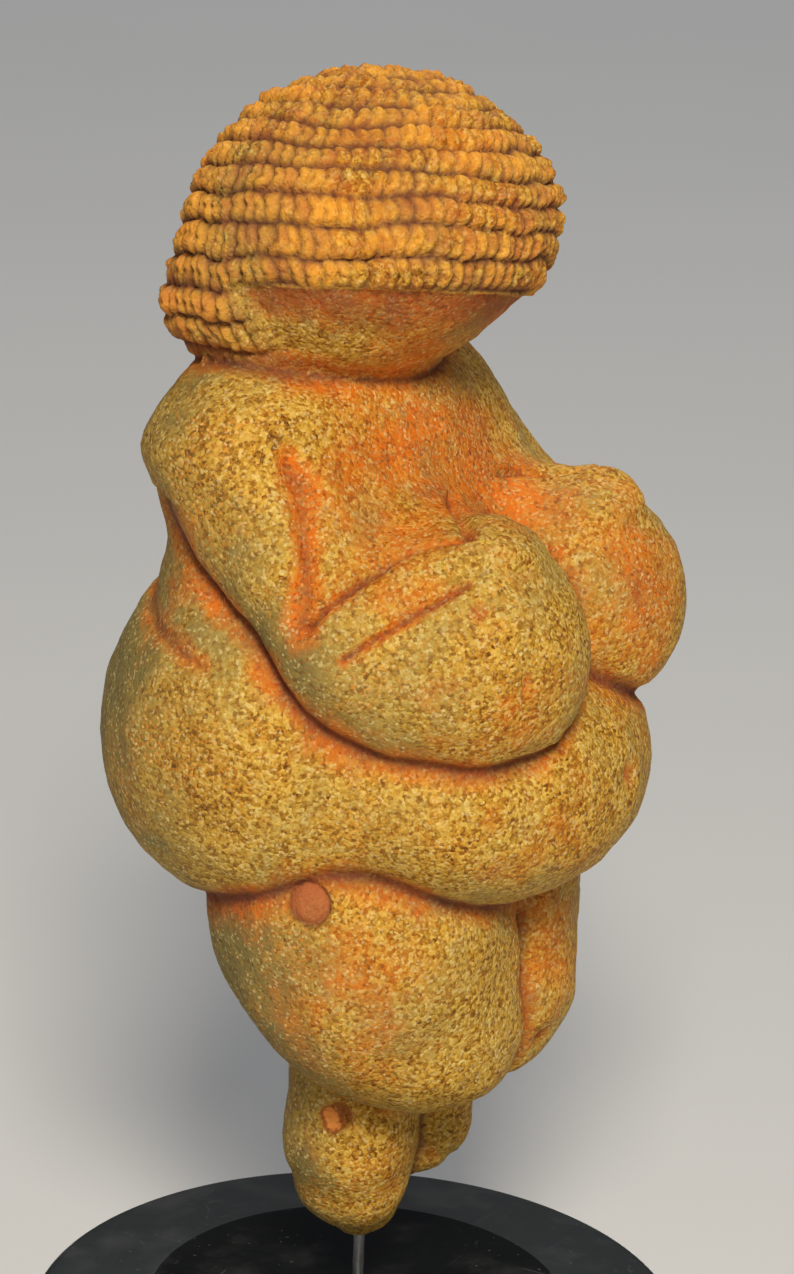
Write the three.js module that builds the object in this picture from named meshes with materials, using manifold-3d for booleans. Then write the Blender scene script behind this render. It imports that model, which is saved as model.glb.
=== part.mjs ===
// Stone venus figurine held upright by a thin steel pin in a round polished foot.
// Millimetres, +Z up. The origin is the middle of the foot's underside, the figure looks along -Y
// and its left side is at +X. Shapes of the figure are given in its own frame, whose zero is the
// tip of the joined legs; pairs such as thighs and arms are given once, for the left side.

import * as THREE from 'three';
import { mergeVertices } from 'three/addons/utils/BufferGeometryUtils.js';
import Module from 'manifold-3d';

// Foot
const FOOT_RADIUS = 30.6;
const FOOT_RIM_HEIGHT = 7.5;
const FOOT_HEIGHT = 9.0;
const FOOT_BAND = 11.0;
const FOOT_EDGE = 0.7;
const FOOT_SIDES = 72;

// Pin and the holes that take it
const PIN_RADIUS = 0.5;
const PIN_CLEARANCE = 0.3;
const PIN_IN_FOOT = 5.0;
const PIN_IN_FIGURE = 11.0;
const PIN_SIDES = 12;

// Figure
const TIP_ABOVE_FOOT = 7.1;
const FIGURE_HEIGHT = 109.5;
const TIP = { x: -1.7, y: -1.0 };
const COLUMNS = 52;
const ROW_RELIEF = 0.5;

// Rounded masses: centre, half axes and turn in degrees about X, Y and Z
const DOME = { at: [-0.7, 1.45, FIGURE_HEIGHT - 14.1], half: [16.7, 16.2, 14.1] };
const NAPE = { at: [-0.5, 7.9, 88.2], half: [15.1, 11.7, 8.6] };
const FACE_CUT = { at: [-0.7, 8.0, 98.5], half: [19.5, 22.5, 16.2] };
const CHEST = { at: [0, 3.8, 69.5], half: [18.9, 12.8, 15.0] };
const BUTTOCK = { at: [11.0, 4.0, 53.0], half: [15.5, 15.5, 17.0], turn: [0, 8, 0] };
const BELLY = { at: [0, -9.3, 50.4], half: [20.2, 14.8, 12.3] };
const PAUNCH = { at: [0, -12.4, 46.7], half: [16.0, 11.3, 8.0] };
const THIGH_TOP = { at: [7.6, -1.8, 39.4], half: [13.6, 13.2, 12.0] };
const THIGH = { at: [6.1, -4.7, 30.3], half: [13.5, 11.7, 11.2] };
const KNEE = { at: [4.6, -9.6, 24.6], half: [8.6, 7.4, 6.6] };
const BREAST = { at: [9.8, -12.6, 62.6], half: [11.4, 11.4, 11.5], turn: [-20, 0, -25] };
const BREAST_SIDE = { at: [15.5, -7.0, 61.5], half: [6.3, 6.3, 6.3] };
const HAND = { at: [8.8, -16.8, 72.5], half: [4.7, 3.3, 1.4], turn: [20, -6, -14] };

// Limbs: points along the middle of the limb and the radius at each
const SHOULDERS = { along: [[0, 8.3, 81.0], [12.0, 7.2, 77.3]], radii: [8.5, 7.9] };
const NECK = { along: [[0, 6.6, 76.0], [-0.5, 6.8, 88.0]], radii: [10.6, 9.0] };
const UPPER_ARM = {
  along: [[14.4, 5.8, 75.6], [18.0, -0.4, 70.0], [19.2, -6.2, 64.6]],
  radii: [7.4, 6.0, 4.6],
};
const FOREARM = {
  along: [[19.0, -7.6, 65.6], [16.9, -11.6, 69.6], [13.2, -14.9, 72.0]],
  radii: [2.5, 2.3, 2.0],
};
const RIGHT_CALF = {
  along: [[-4.0, -1.0, 19.0], [-3.8, -0.9, 12.0], [-3.1, -0.7, 8.0], [TIP.x, TIP.y, 5.0]],
  radii: [6.0, 6.1, 5.4, 3.6],
};
const LEFT_CALF = {
  along: [[5.0, -4.0, 19.0], [4.6, -4.3, 12.0], [3.6, -4.0, 9.0]],
  radii: [5.0, 4.2, 2.8],
};

// How widely neighbouring masses run into each other
const BLEND = {
  back: 7, hips: 5, paunch: 4, belly: 4, thigh: 7, knee: 4, calves: 2.2, legs: 1.6, shins: 1.2,
  neck: 4, skull: 5, face: 2.4, chin: 1.2, breast: 5, arm: 6, fold: 1.1, chestFold: 5.5,
  forearm: 1.6, hand: 1.2,
};

// Where the fold between chest and breasts is filled: heights, and distances to the front
const CHEST_FILL = { low: 64, high: 73, back: -6, front: 4, shoulder: 74, top: 79 };

// Groove under the cap: its height in front, how far it drops behind, and the angles between
const CAP_EDGE = { front: 92.4, drop: 10.0, from: 95, to: 160 };

// The standing line inside the figure from which its skin is measured outwards: height, x and y
const CORE_LINE = [
  [0, TIP.x, TIP.y], [10, -0.4, -2.0], [22, 0, -4.5], [36, 0, -2.5],
  [52, 0, 0], [66, 0, 1.0], [78, 0, 5.5], [88, -0.6, 5.0], [96, -0.8, 1.7],
];

// How the rings of the skin follow each other down that line: the height they start from, how
// steeply they look up, in degrees, and the number of rings down to the next entry
const RING_PLAN = [
  { height: DOME.at[2], rise: 90, rings: 16 },
  { height: DOME.at[2], rise: 0, rings: 9 },
  { height: 82, rise: 0, rings: 8 },
  { height: 72, rise: 22, rings: 5 },
  { height: 64, rise: 25, rings: 10 },
  { height: 57, rise: 8, rings: 4 },
  { height: 50, rise: 0, rings: 22 },
  { height: RIGHT_CALF.along.at(-1)[2], rise: 0, rings: 4 },
  { height: RIGHT_CALF.along.at(-1)[2], rise: -90, rings: 0 },
];

const { clamp, degToRad, lerp, radToDeg, smoothstep } = THREE.MathUtils;

function smoothMin(a, b, width) {
  const near = Math.max(width - Math.abs(a - b), 0) / width;
  return Math.min(a, b) - near * near * width / 4;
}

// Distance functions: negative inside, growing outwards
function roundMass({ at, half, turn = [0, 0, 0] }) {
  const centre = new THREE.Vector3(...at);
  const euler = new THREE.Euler(...turn.map(degToRad), 'ZYX');
  const intoAxes = new THREE.Matrix4().makeRotationFromEuler(euler).transpose();
  const local = new THREE.Vector3();
  return (point) => {
    local.subVectors(point, centre).applyMatrix4(intoAxes);
    const unit = Math.hypot(local.x / half[0], local.y / half[1], local.z / half[2]);
    const slope = Math.hypot(local.x / half[0] ** 2, local.y / half[1] ** 2, local.z / half[2] ** 2);
    return unit * (unit - 1) / Math.max(slope, 1e-9);
  };
}

function limb({ along, radii }) {
  const joints = along.map((joint) => new THREE.Vector3(...joint));
  const bones = joints.slice(1).map((end, i) => new THREE.Line3(joints[i], end));
  const nearest = new THREE.Vector3();
  return (point) => Math.min(...bones.map((bone, i) => {
    const share = bone.closestPointToPointParameter(point, true);
    bone.at(share, nearest);
    return nearest.distanceTo(point) - lerp(radii[i], radii[i + 1], share);
  }));
}

const dome = roundMass(DOME);
const nape = roundMass(NAPE);
const faceCut = roundMass(FACE_CUT);
const chest = roundMass(CHEST);
const buttock = roundMass(BUTTOCK);
const belly = roundMass(BELLY);
const paunch = roundMass(PAUNCH);
const thighTop = roundMass(THIGH_TOP);
const thighMiddle = roundMass(THIGH);
const knee = roundMass(KNEE);
const breastBall = roundMass(BREAST);
const breastSide = roundMass(BREAST_SIDE);
const hand = roundMass(HAND);
const shoulders = limb(SHOULDERS);
const neck = limb(NECK);
const upperArm = limb(UPPER_ARM);
const forearm = limb(FOREARM);
const rightCalf = limb(RIGHT_CALF);
const leftCalf = limb(LEFT_CALF);

function torso(point, paired) {
  const back = smoothMin(chest(point), shoulders(paired), BLEND.back);
  const hips = smoothMin(back, buttock(paired), BLEND.hips);
  return smoothMin(hips, smoothMin(belly(point), paunch(point), BLEND.paunch), BLEND.belly);
}

function thighs(paired) {
  const top = smoothMin(thighTop(paired), thighMiddle(paired), BLEND.thigh);
  return smoothMin(top, knee(paired), BLEND.knee);
}

function head(point) {
  const skull = smoothMin(dome(point), nape(point), BLEND.skull);
  return -smoothMin(-skull, -faceCut(point), BLEND.face);
}

function chestFill(point) {
  const { low, high, back, front, shoulder, top } = CHEST_FILL;
  const ahead = smoothstep(point.z, low, high) * smoothstep(-point.y, back, front);
  return Math.min(ahead + smoothstep(point.z, shoulder, top), 1);
}

function withArms(body, point, paired) {
  const breast = smoothMin(breastBall(paired), breastSide(paired), BLEND.breast);
  const over = smoothMin(upperArm(paired), breast, BLEND.arm);
  let skin = smoothMin(body, over, BLEND.fold + BLEND.chestFold * chestFill(point));
  skin = smoothMin(skin, forearm(paired), BLEND.forearm);
  return smoothMin(skin, hand(paired), BLEND.hand);
}

function figure(point) {
  const paired = new THREE.Vector3(Math.abs(point.x), point.y, point.z);
  const calves = smoothMin(rightCalf(point), leftCalf(point), BLEND.calves);
  let skin = smoothMin(torso(point, paired), thighs(paired), BLEND.legs);
  skin = smoothMin(skin, calves, BLEND.shins);
  skin = smoothMin(skin, neck(point), BLEND.neck);
  skin = smoothMin(skin, head(point), BLEND.chin);
  return withArms(skin, point, paired);
}

// Skin of the figure: rings of points moved in from outside until they meet the masses
function coreAt(height) {
  const held = clamp(height, CORE_LINE[0][0], CORE_LINE.at(-1)[0]);
  const above = Math.max(CORE_LINE.findIndex(([level]) => level >= held), 1);
  const [low, high] = [CORE_LINE[above - 1], CORE_LINE[above]];
  const share = (held - low[0]) / (high[0] - low[0]);
  return new THREE.Vector2(lerp(low[1], high[1], share), lerp(low[2], high[2], share));
}

function skinRings() {
  const rings = [];
  RING_PLAN.forEach((start, i) => {
    const end = RING_PLAN[i + 1] ?? start;
    for (let k = 0; k < start.rings || (end === start && k === 0); k++) {
      const share = start.rings ? k / start.rings : 0;
      const height = lerp(start.height, end.height, share);
      const core = coreAt(height);
      rings.push({
        centre: new THREE.Vector3(core.x, core.y, height),
        rise: degToRad(lerp(start.rise, end.rise, share)),
      });
    }
  });
  return rings;
}

function capEdgeHeight(angle) {
  const fromFront = Math.abs(angle);
  return CAP_EDGE.front - CAP_EDGE.drop * smoothstep(fromFront, CAP_EDGE.from, CAP_EDGE.to);
}

function meetSkin(ring, heading, sunk) {
  const inwards = new THREE.Vector3(
    -Math.cos(heading) * Math.cos(ring.rise),
    -Math.sin(heading) * Math.cos(ring.rise),
    -Math.sin(ring.rise),
  );
  const point = ring.centre.clone().addScaledVector(inwards, -FIGURE_HEIGHT / 2);
  for (let step = 0, gap = 1; step < 200 && gap > 0.004; step++) {
    gap = figure(point);
    point.addScaledVector(inwards, gap * 0.8);
  }
  const angle = radToDeg(Math.atan2(point.x - DOME.at[0], DOME.at[1] - point.y));
  if (sunk && point.z > capEdgeHeight(angle)) point.addScaledVector(inwards, ROW_RELIEF);
  return point;
}

function figureSkin() {
  const rings = skinRings();
  const geometry = new THREE.SphereGeometry(1, COLUMNS, rings.length - 1);
  const positions = geometry.attributes.position;
  for (let i = 0; i < positions.count; i++) {
    const row = Math.floor(i / (COLUMNS + 1));
    const column = i % (COLUMNS + 1) % COLUMNS;
    const point = meetSkin(rings[row], Math.PI * (1 + 2 * column / COLUMNS), row % 2 === 0);
    positions.setXYZ(i, point.x, point.y, point.z);
  }
  return geometry;
}

// Rods and discs along +Z from given heights
function rod(radius, bottom, top, sides) {
  const geometry = new THREE.CylinderGeometry(radius, radius, top - bottom, sides);
  return geometry.rotateX(Math.PI / 2).translate(0, 0, (bottom + top) / 2);
}

function footDisc() {
  const inner = FOOT_RADIUS - FOOT_BAND;
  const profile = new THREE.Path();
  profile.moveTo(0, 0);
  profile.lineTo(FOOT_RADIUS - FOOT_EDGE, 0);
  profile.lineTo(FOOT_RADIUS, FOOT_EDGE);
  profile.lineTo(FOOT_RADIUS, FOOT_RIM_HEIGHT - FOOT_EDGE);
  profile.quadraticCurveTo(
    FOOT_RADIUS, FOOT_RIM_HEIGHT,
    FOOT_RADIUS - 2 * FOOT_EDGE, FOOT_RIM_HEIGHT + FOOT_EDGE * 0.25,
  );
  profile.lineTo(inner, FOOT_HEIGHT);
  profile.lineTo(0, FOOT_HEIGHT);
  return new THREE.LatheGeometry(profile.getPoints(3), FOOT_SIDES).rotateX(Math.PI / 2);
}

const wasm = await Module();
wasm.setup();

function toSolid(geometry) {
  const bare = geometry.clone();
  bare.deleteAttribute('normal');
  bare.deleteAttribute('uv');
  const merged = mergeVertices(bare, 1e-4);
  const corners = Array.from(merged.index.array);
  const triVerts = [];
  for (let i = 0; i < corners.length; i += 3) {
    const triangle = corners.slice(i, i + 3);
    if (new Set(triangle).size === 3) triVerts.push(...triangle);
  }
  return new wasm.Manifold(new wasm.Mesh({
    numProp: 3,
    vertProperties: new Float32Array(merged.attributes.position.array),
    triVerts: new Uint32Array(triVerts),
  }));
}

function toGeometry(solid) {
  const mesh = solid.getMesh();
  const geometry = new THREE.BufferGeometry();
  geometry.setAttribute('position', new THREE.BufferAttribute(mesh.vertProperties, 3));
  geometry.setIndex(new THREE.BufferAttribute(mesh.triVerts, 1));
  geometry.computeVertexNormals();
  return geometry;
}

function drilled(body, hole) {
  return toGeometry(toSolid(body).subtract(toSolid(hole)));
}

// The three pieces in their places
const holeRadius = PIN_RADIUS + PIN_CLEARANCE;
const tipHeight = FOOT_HEIGHT + TIP_ABOVE_FOOT;
const lowestStone = RIGHT_CALF.along.at(-1)[2] - RIGHT_CALF.radii.at(-1);
const figureOffset = new THREE.Vector3(-TIP.x, -TIP.y, tipHeight - lowestStone);
const pinBottom = FOOT_HEIGHT - PIN_IN_FOOT;
const pinTop = tipHeight + PIN_IN_FIGURE;

const stone = new THREE.MeshStandardMaterial({ color: 0xb8832f, roughness: 0.72, metalness: 0 });
const steel = new THREE.MeshStandardMaterial({ color: 0xb9bbbd, roughness: 0.3, metalness: 1 });
const polish = new THREE.MeshStandardMaterial({ color: 0x17181a, roughness: 0.12, metalness: 0 });

const stoneSkin = figureSkin().translate(figureOffset.x, figureOffset.y, figureOffset.z);
const socket = rod(holeRadius, tipHeight - 2, pinTop + PIN_CLEARANCE, PIN_SIDES);
const figurine = new THREE.Mesh(drilled(stoneSkin, socket), stone);
figurine.name = 'figurine';

const pin = new THREE.Mesh(rod(PIN_RADIUS, pinBottom, pinTop, PIN_SIDES), steel);
pin.name = 'pin';

const footHole = rod(holeRadius, pinBottom - PIN_CLEARANCE, FOOT_HEIGHT + 1, PIN_SIDES);
const foot = new THREE.Mesh(drilled(footDisc(), footHole), polish);
foot.name = 'foot';

const group = new THREE.Group();
group.add(figurine, pin, foot);

export default group;
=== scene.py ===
"""A stone venus figurine on a thin steel pin in a round polished foot.

Everything is in metres in the frame's own axes: +Z up, -Y the way the figure faces. Shapes that
are carved in the stone are given in millimetres in the figure's own frame, whose zero is the tip
of the joined legs, and angles there count from the front, positive towards the figure's left.
"""
import logging
import math
from dataclasses import dataclass
from enum import Enum
from typing import Any, Sequence

import bmesh
import bpy
import numpy as np
from mathutils import Matrix, Vector


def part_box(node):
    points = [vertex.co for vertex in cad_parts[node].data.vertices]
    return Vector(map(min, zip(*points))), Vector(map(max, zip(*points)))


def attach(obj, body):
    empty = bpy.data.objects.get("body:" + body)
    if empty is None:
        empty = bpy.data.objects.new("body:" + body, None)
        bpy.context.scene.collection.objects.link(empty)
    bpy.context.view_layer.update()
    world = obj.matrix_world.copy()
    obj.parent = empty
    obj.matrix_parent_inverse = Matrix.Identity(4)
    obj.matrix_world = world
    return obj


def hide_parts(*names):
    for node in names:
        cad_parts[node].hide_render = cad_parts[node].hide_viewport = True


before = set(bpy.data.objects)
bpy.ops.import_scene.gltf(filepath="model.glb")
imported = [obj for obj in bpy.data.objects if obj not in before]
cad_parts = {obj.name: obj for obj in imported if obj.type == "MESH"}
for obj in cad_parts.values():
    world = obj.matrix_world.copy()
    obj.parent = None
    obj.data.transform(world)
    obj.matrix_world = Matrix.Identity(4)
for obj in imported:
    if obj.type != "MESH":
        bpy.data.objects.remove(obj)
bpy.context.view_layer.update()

MM = 0.001
MM_TO_A_DEGREE = 0.35
LOG = logging.getLogger("figurine")

Triple = tuple[float, float, float]
Route = tuple[tuple[float, float], ...]
Layers = tuple[tuple[float, float, int], ...]


class Node(Enum):
    """The nodes of the frame that the pieces stand for."""

    FIGURINE = "figurine"
    PIN = "pin"
    FOOT = "foot"


class Slot(Enum):
    """Names of the material slots."""

    STONE = "stone"
    STEEL = "steel"
    FOOT = "foot_polish"


class Mask(Enum):
    """Measures of the carved surface that the stone's finish reads, each from 0 to 1."""

    # painted shade in the lines, pits, between the knots, under the cap's rim and round the nodule
    CREVICE_SHADE = "crevice_shade"
    OCHRE = "ochre"
    PLUG = "plug"
    CAP = "cap"
    # the break: painted light on its shallow facet, painted shade towards its deep end
    CHIP = "chip"
    # painted shade on the side turned from the light and on faces turned down
    PAINTED_SIDE_SHADE = "painted_side_shade"


class Seam(Enum):
    """Lines where the parts of the body meet."""

    BREAST = "behind the arms and under the breasts"
    BELLY = "under the belly"
    KNEE = "under the knees"
    CALVES = "between the calves"
    CLEAVAGE = "between the breasts"
    THIGHS = "between the thighs"
    CLEFT = "between the buttocks"
    NECK = "under the head"


def smooth_min(a: np.ndarray, b: np.ndarray, width: float | np.ndarray) -> np.ndarray:
    """The lower of two distances with the corner between them rounded.

    Args:
        a: first distances.
        b: second distances.
        width: how far from the corner the rounding starts.

    Returns:
        The blended distances.
    """
    near = np.maximum(width - np.abs(a - b), 0.0) / width
    return np.minimum(a, b) - near * near * width * 0.25


def smooth_step(x: np.ndarray, low: float, high: float) -> np.ndarray:
    """A value that rises smoothly from 0 at low to 1 at high."""
    t = np.clip((x - low) / (high - low), 0.0, 1.0)
    return t * t * (3.0 - 2.0 * t)


def bell(distance: np.ndarray, width: float | np.ndarray) -> np.ndarray:
    """A bump of height 1 that has faded out two widths away."""
    return np.exp(-((distance / width) ** 2))


def lengths(vectors: np.ndarray) -> np.ndarray:
    """The length of each row of an array of vectors."""
    return np.sqrt(np.einsum("ij,ij->i", vectors, vectors))


def folded(points: np.ndarray) -> np.ndarray:
    """The points with those of the right side taken over to the left.

    Args:
        points: positions in the figure's own frame.

    Returns:
        The changed copy.
    """
    paired = points.copy()
    paired[:, 0] = np.abs(paired[:, 0])
    return paired


def hashed(a: np.ndarray, b: np.ndarray | float, seed: float) -> np.ndarray:
    """A repeatable random number from 0 to 1 for each pair of whole numbers."""
    wave = np.sin(a * 127.1 + b * 311.7 + seed * 74.7) * 43758.5453
    return wave - np.floor(wave)


def ripple(points: np.ndarray, wavelength: float, seed: int, waves: int = 20) -> np.ndarray:
    """Smooth uneven ground, built from plane waves in all directions.

    Args:
        points: where it is wanted.
        wavelength: typical distance from hump to hump.
        seed: picks the directions and phases.
        waves: number of plane waves.

    Returns:
        Heights whose usual size is about 1.
    """
    random = np.random.default_rng(seed)
    headings = random.normal(size=(waves, 3))
    headings /= np.linalg.norm(headings, axis=1)[:, None]
    pace = 2.0 * math.pi / (wavelength * random.uniform(0.7, 1.5, waves))
    phase = random.uniform(0.0, 2.0 * math.pi, waves)
    return np.sin((points @ headings.T) * pace + phase).sum(axis=1) * math.sqrt(2.0 / waves)


def uneven(points: np.ndarray, layers: Layers) -> np.ndarray:
    """The sum of several ripples, each given by its height, its wavelength and its seed."""
    return sum(height * ripple(points, wavelength, seed) for height, wavelength, seed in layers)


@dataclass(frozen=True)
class Mass:
    """A rounded mass of stone.

    Args:
        at: its centre.
        half: its half axes.
        turn: its turn about X, Y and Z in degrees.
    """

    at: Triple
    half: Triple
    turn: Triple = (0.0, 0.0, 0.0)

    def local(self, points: np.ndarray) -> np.ndarray:
        """Positions counted from the mass's centre along its own axes.

        Args:
            points: positions in the figure's own frame.

        Returns:
            The same positions in its own axes.
        """
        about_x, about_y, about_z = (
            Matrix.Rotation(math.radians(angle), 3, axis) for angle, axis in zip(self.turn, "XYZ")
        )
        return (points - np.array(self.at)) @ np.array(about_z @ about_y @ about_x)

    def distance(self, points: np.ndarray) -> np.ndarray:
        """How far points lie outside the mass, negative inside.

        Args:
            points: positions in the figure's own frame.

        Returns:
            One distance for each point.
        """
        local = self.local(points)
        unit = lengths(local / np.array(self.half))
        slope = lengths(local / np.array(self.half) ** 2)
        return unit * (unit - 1.0) / np.maximum(slope, 1e-9)


@dataclass(frozen=True)
class Limb:
    """A round limb that changes thickness along its length.

    Args:
        along: points on its middle line.
        radii: its radius at each point.
    """

    along: tuple[Triple, ...]
    radii: tuple[float, ...]

    def distance(self, points: np.ndarray) -> np.ndarray:
        """How far points lie outside the limb, negative inside.

        Args:
            points: positions in the figure's own frame.

        Returns:
            One distance for each point.
        """
        best = np.full(len(points), np.inf)
        for i in range(len(self.along) - 1):
            start, end = np.array(self.along[i]), np.array(self.along[i + 1])
            bone = end - start
            share = np.clip((points - start) @ bone / (bone @ bone), 0.0, 1.0)
            thick = self.radii[i] + (self.radii[i + 1] - self.radii[i]) * share
            best = np.minimum(best, lengths(points - start - share[:, None] * bone) - thick)
        return best


@dataclass(frozen=True)
class Joins:
    """How far the rounding reaches where the masses of the body meet, in millimetres.

    Args:
        shoulders: between shoulders and chest.
        buttocks: between buttocks and chest.
        belly: between the belly, its lower part and the torso.
        nape: between the nape and the dome of the head.
        thighs: between the tops of the thighs and the thighs.
        knees: between thighs and knees.
        face: along the lower edge of the head.
        breasts: between the breasts and their sides.
        arms: between upper arms and breasts.
        hips: between torso and thighs.
        calves: between the two calves.
        legs: between thighs and calves.
        neck: between neck and torso.
        head: between head and neck.
        fold: where arms and breasts lie on the torso in a sharp fold.
        chest: what is added to that on the chest and the shoulders.
        forearms: round the forearms.
        hands: round the hands.
    """

    shoulders: float = 7.0
    buttocks: float = 5.0
    belly: float = 4.0
    nape: float = 5.0
    thighs: float = 7.0
    knees: float = 4.0
    face: float = 2.4
    breasts: float = 5.0
    arms: float = 6.0
    hips: float = 1.6
    calves: float = 2.2
    legs: float = 1.2
    neck: float = 4.0
    head: float = 1.2
    fold: float = 1.1
    chest: float = 5.5
    forearms: float = 1.6
    hands: float = 1.2


@dataclass(frozen=True)
class FigureShape:
    """The masses of the figure, in millimetres; those given for the left side are paired.

    Args:
        chest: the chest and the back.
        shoulders: the ridge of the shoulders.
        buttock: a buttock with the hip.
        belly: the belly.
        paunch: its lower, hanging part.
        thigh_top: the top of a thigh.
        thigh: a thigh.
        knee: a knee.
        right_calf: the longer calf, whose end is the tip.
        left_calf: the shorter calf.
        neck: the neck.
        dome: the round of the head.
        nape: the back of the head.
        face_cut: the round that the head's lower edge follows.
        upper_arm: an upper arm.
        breast: a breast.
        breast_side: the side of a breast, under the arm.
        forearm: a thin forearm on a breast.
        hand: a hand on a breast.
        joins: how far the masses run into each other.
    """

    chest: Mass = Mass((0, 3.8, 69.5), (18.9, 12.8, 15.0))
    shoulders: Limb = Limb(((0, 8.3, 81.0), (12.0, 7.2, 77.3)), (8.5, 7.9))
    buttock: Mass = Mass((11.0, 4.0, 53.0), (15.5, 15.5, 17.0), (0, 8, 0))
    belly: Mass = Mass((0, -9.3, 50.4), (20.2, 14.8, 12.3))
    paunch: Mass = Mass((0, -12.4, 46.7), (16.0, 11.3, 8.0))
    thigh_top: Mass = Mass((7.6, -1.8, 39.4), (13.6, 13.2, 12.0))
    thigh: Mass = Mass((6.1, -4.7, 30.3), (13.5, 11.7, 11.2))
    knee: Mass = Mass((4.6, -9.6, 24.6), (8.6, 7.4, 6.6))
    right_calf: Limb = Limb(
        ((-4.0, -1.0, 19.0), (-3.8, -0.9, 12.0), (-3.1, -0.7, 8.0), (-1.7, -1.0, 5.0)), (6.0, 6.1, 5.4, 3.6)
    )
    left_calf: Limb = Limb(((5.0, -4.0, 19.0), (4.6, -4.3, 12.0), (3.6, -4.0, 9.0)), (5.0, 4.2, 2.8))
    neck: Limb = Limb(((0, 6.6, 76.0), (-0.5, 6.8, 88.0)), (10.6, 9.0))
    dome: Mass = Mass((-0.7, 1.45, 95.4), (16.7, 16.2, 14.1))
    nape: Mass = Mass((-0.5, 7.9, 88.2), (15.1, 11.7, 8.6))
    face_cut: Mass = Mass((-0.7, 8.0, 98.5), (19.5, 22.5, 16.2))
    upper_arm: Limb = Limb(((14.4, 5.8, 75.6), (18.0, -0.4, 70.0), (19.2, -6.2, 64.6)), (7.4, 6.0, 4.6))
    breast: Mass = Mass((9.8, -12.6, 62.6), (11.4, 11.4, 11.5), (-20, 0, -25))
    breast_side: Mass = Mass((15.5, -7.0, 61.5), (6.3, 6.3, 6.3))
    forearm: Limb = Limb(((19.0, -7.6, 65.6), (16.9, -11.6, 69.6), (13.2, -14.9, 72.0)), (2.5, 2.3, 2.0))
    hand: Mass = Mass((8.8, -16.8, 72.5), (4.7, 3.3, 1.4), (20, -6, -14))
    joins: Joins = Joins()

    def parts(self, points: np.ndarray) -> dict[str, np.ndarray]:
        """How far points lie outside each part of the body.

        Args:
            points: positions in the figure's own frame.

        Returns:
            One distance for each part and point.
        """
        paired, joins = folded(points), self.joins
        torso = smooth_min(self.chest.distance(points), self.shoulders.distance(paired), joins.shoulders)
        torso = smooth_min(torso, self.buttock.distance(paired), joins.buttocks)
        belly = smooth_min(self.belly.distance(points), self.paunch.distance(points), joins.belly)
        head = smooth_min(self.dome.distance(points), self.nape.distance(points), joins.nape)
        thigh = smooth_min(self.thigh_top.distance(paired), self.thigh.distance(paired), joins.thighs)
        breast, its_side = self.breast.distance(paired), self.breast_side.distance(paired)
        return {
            "torso": smooth_min(torso, belly, joins.belly),
            "thighs": smooth_min(thigh, self.knee.distance(paired), joins.knees),
            "right_calf": self.right_calf.distance(points),
            "left_calf": self.left_calf.distance(points),
            "neck": self.neck.distance(points),
            "head": -smooth_min(-head, -self.face_cut.distance(points), joins.face),
            "arms": self.upper_arm.distance(paired),
            "breasts": smooth_min(breast, its_side, joins.breasts),
            "forearms": self.forearm.distance(paired),
            "hands": self.hand.distance(paired),
        }

    def distance(self, points: np.ndarray) -> np.ndarray:
        """How far points lie outside the whole figure, negative inside.

        Args:
            points: positions in the figure's own frame.

        Returns:
            One distance for each point.
        """
        part, joins = self.parts(points), self.joins
        calves = smooth_min(part["right_calf"], part["left_calf"], joins.calves)
        skin = smooth_min(smooth_min(part["torso"], part["thighs"], joins.hips), calves, joins.legs)
        skin = smooth_min(skin, part["neck"], joins.neck)
        skin = smooth_min(skin, part["head"], joins.head)
        over = smooth_min(part["arms"], part["breasts"], joins.arms)
        level, ahead = points[:, 2], -points[:, 1]
        on_chest = smooth_step(level, 64.0, 73.0) * smooth_step(ahead, -6.0, 4.0)
        on_shoulders = smooth_step(level, 74.0, 79.0)
        soft = np.minimum(on_chest + on_shoulders, 1.0)
        skin = smooth_min(skin, over, joins.fold + joins.chest * soft)
        skin = smooth_min(skin, part["forearms"], joins.forearms)
        return smooth_min(skin, part["hands"], joins.hands)

    def seams(self, points: np.ndarray) -> dict["Seam", np.ndarray]:
        """How far points lie from the lines where the parts of the body meet.

        Args:
            points: positions on the skin, in the figure's own frame.

        Returns:
            One distance for each seam and point, large where the seam doesn't run.
        """
        def past(measure: np.ndarray, start: float, end: float) -> np.ndarray:
            """A long way that is added where a measure has passed the end of a seam."""
            return 30.0 * smooth_step(measure, start, end)

        part = self.parts(points)
        level, behind, middle = points[:, 2], points[:, 1], np.abs(points[:, 0])
        calves = np.minimum(part["right_calf"], part["left_calf"])
        over = smooth_min(part["arms"], part["breasts"], self.joins.arms)
        top_of_fold = 65.0 + 9.5 * smooth_step(behind, -5.0, 1.0)
        return {
            Seam.BREAST: np.abs(over - part["torso"]) + past(level - top_of_fold, 0.0, 4.0),
            Seam.BELLY: np.abs(part["torso"] - part["thighs"]) + past(level, 46.0, 50.0),
            Seam.KNEE: np.abs(part["thighs"] - calves),
            Seam.CALVES: np.abs(part["right_calf"] - part["left_calf"]) + past(level, 17.0, 20.0),
            Seam.CLEAVAGE: middle + past(part["breasts"], 0.3, 1.6),
            Seam.THIGHS: middle + past(part["thighs"], 0.3, 1.2) + past(level, 36.0, 39.0),
            Seam.CLEFT: middle + past(behind, 10.0, 5.0) + past(level, 60.0, 66.0),
            Seam.NECK: np.abs(part["head"] - np.minimum(part["neck"], part["torso"])),
        }

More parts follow.
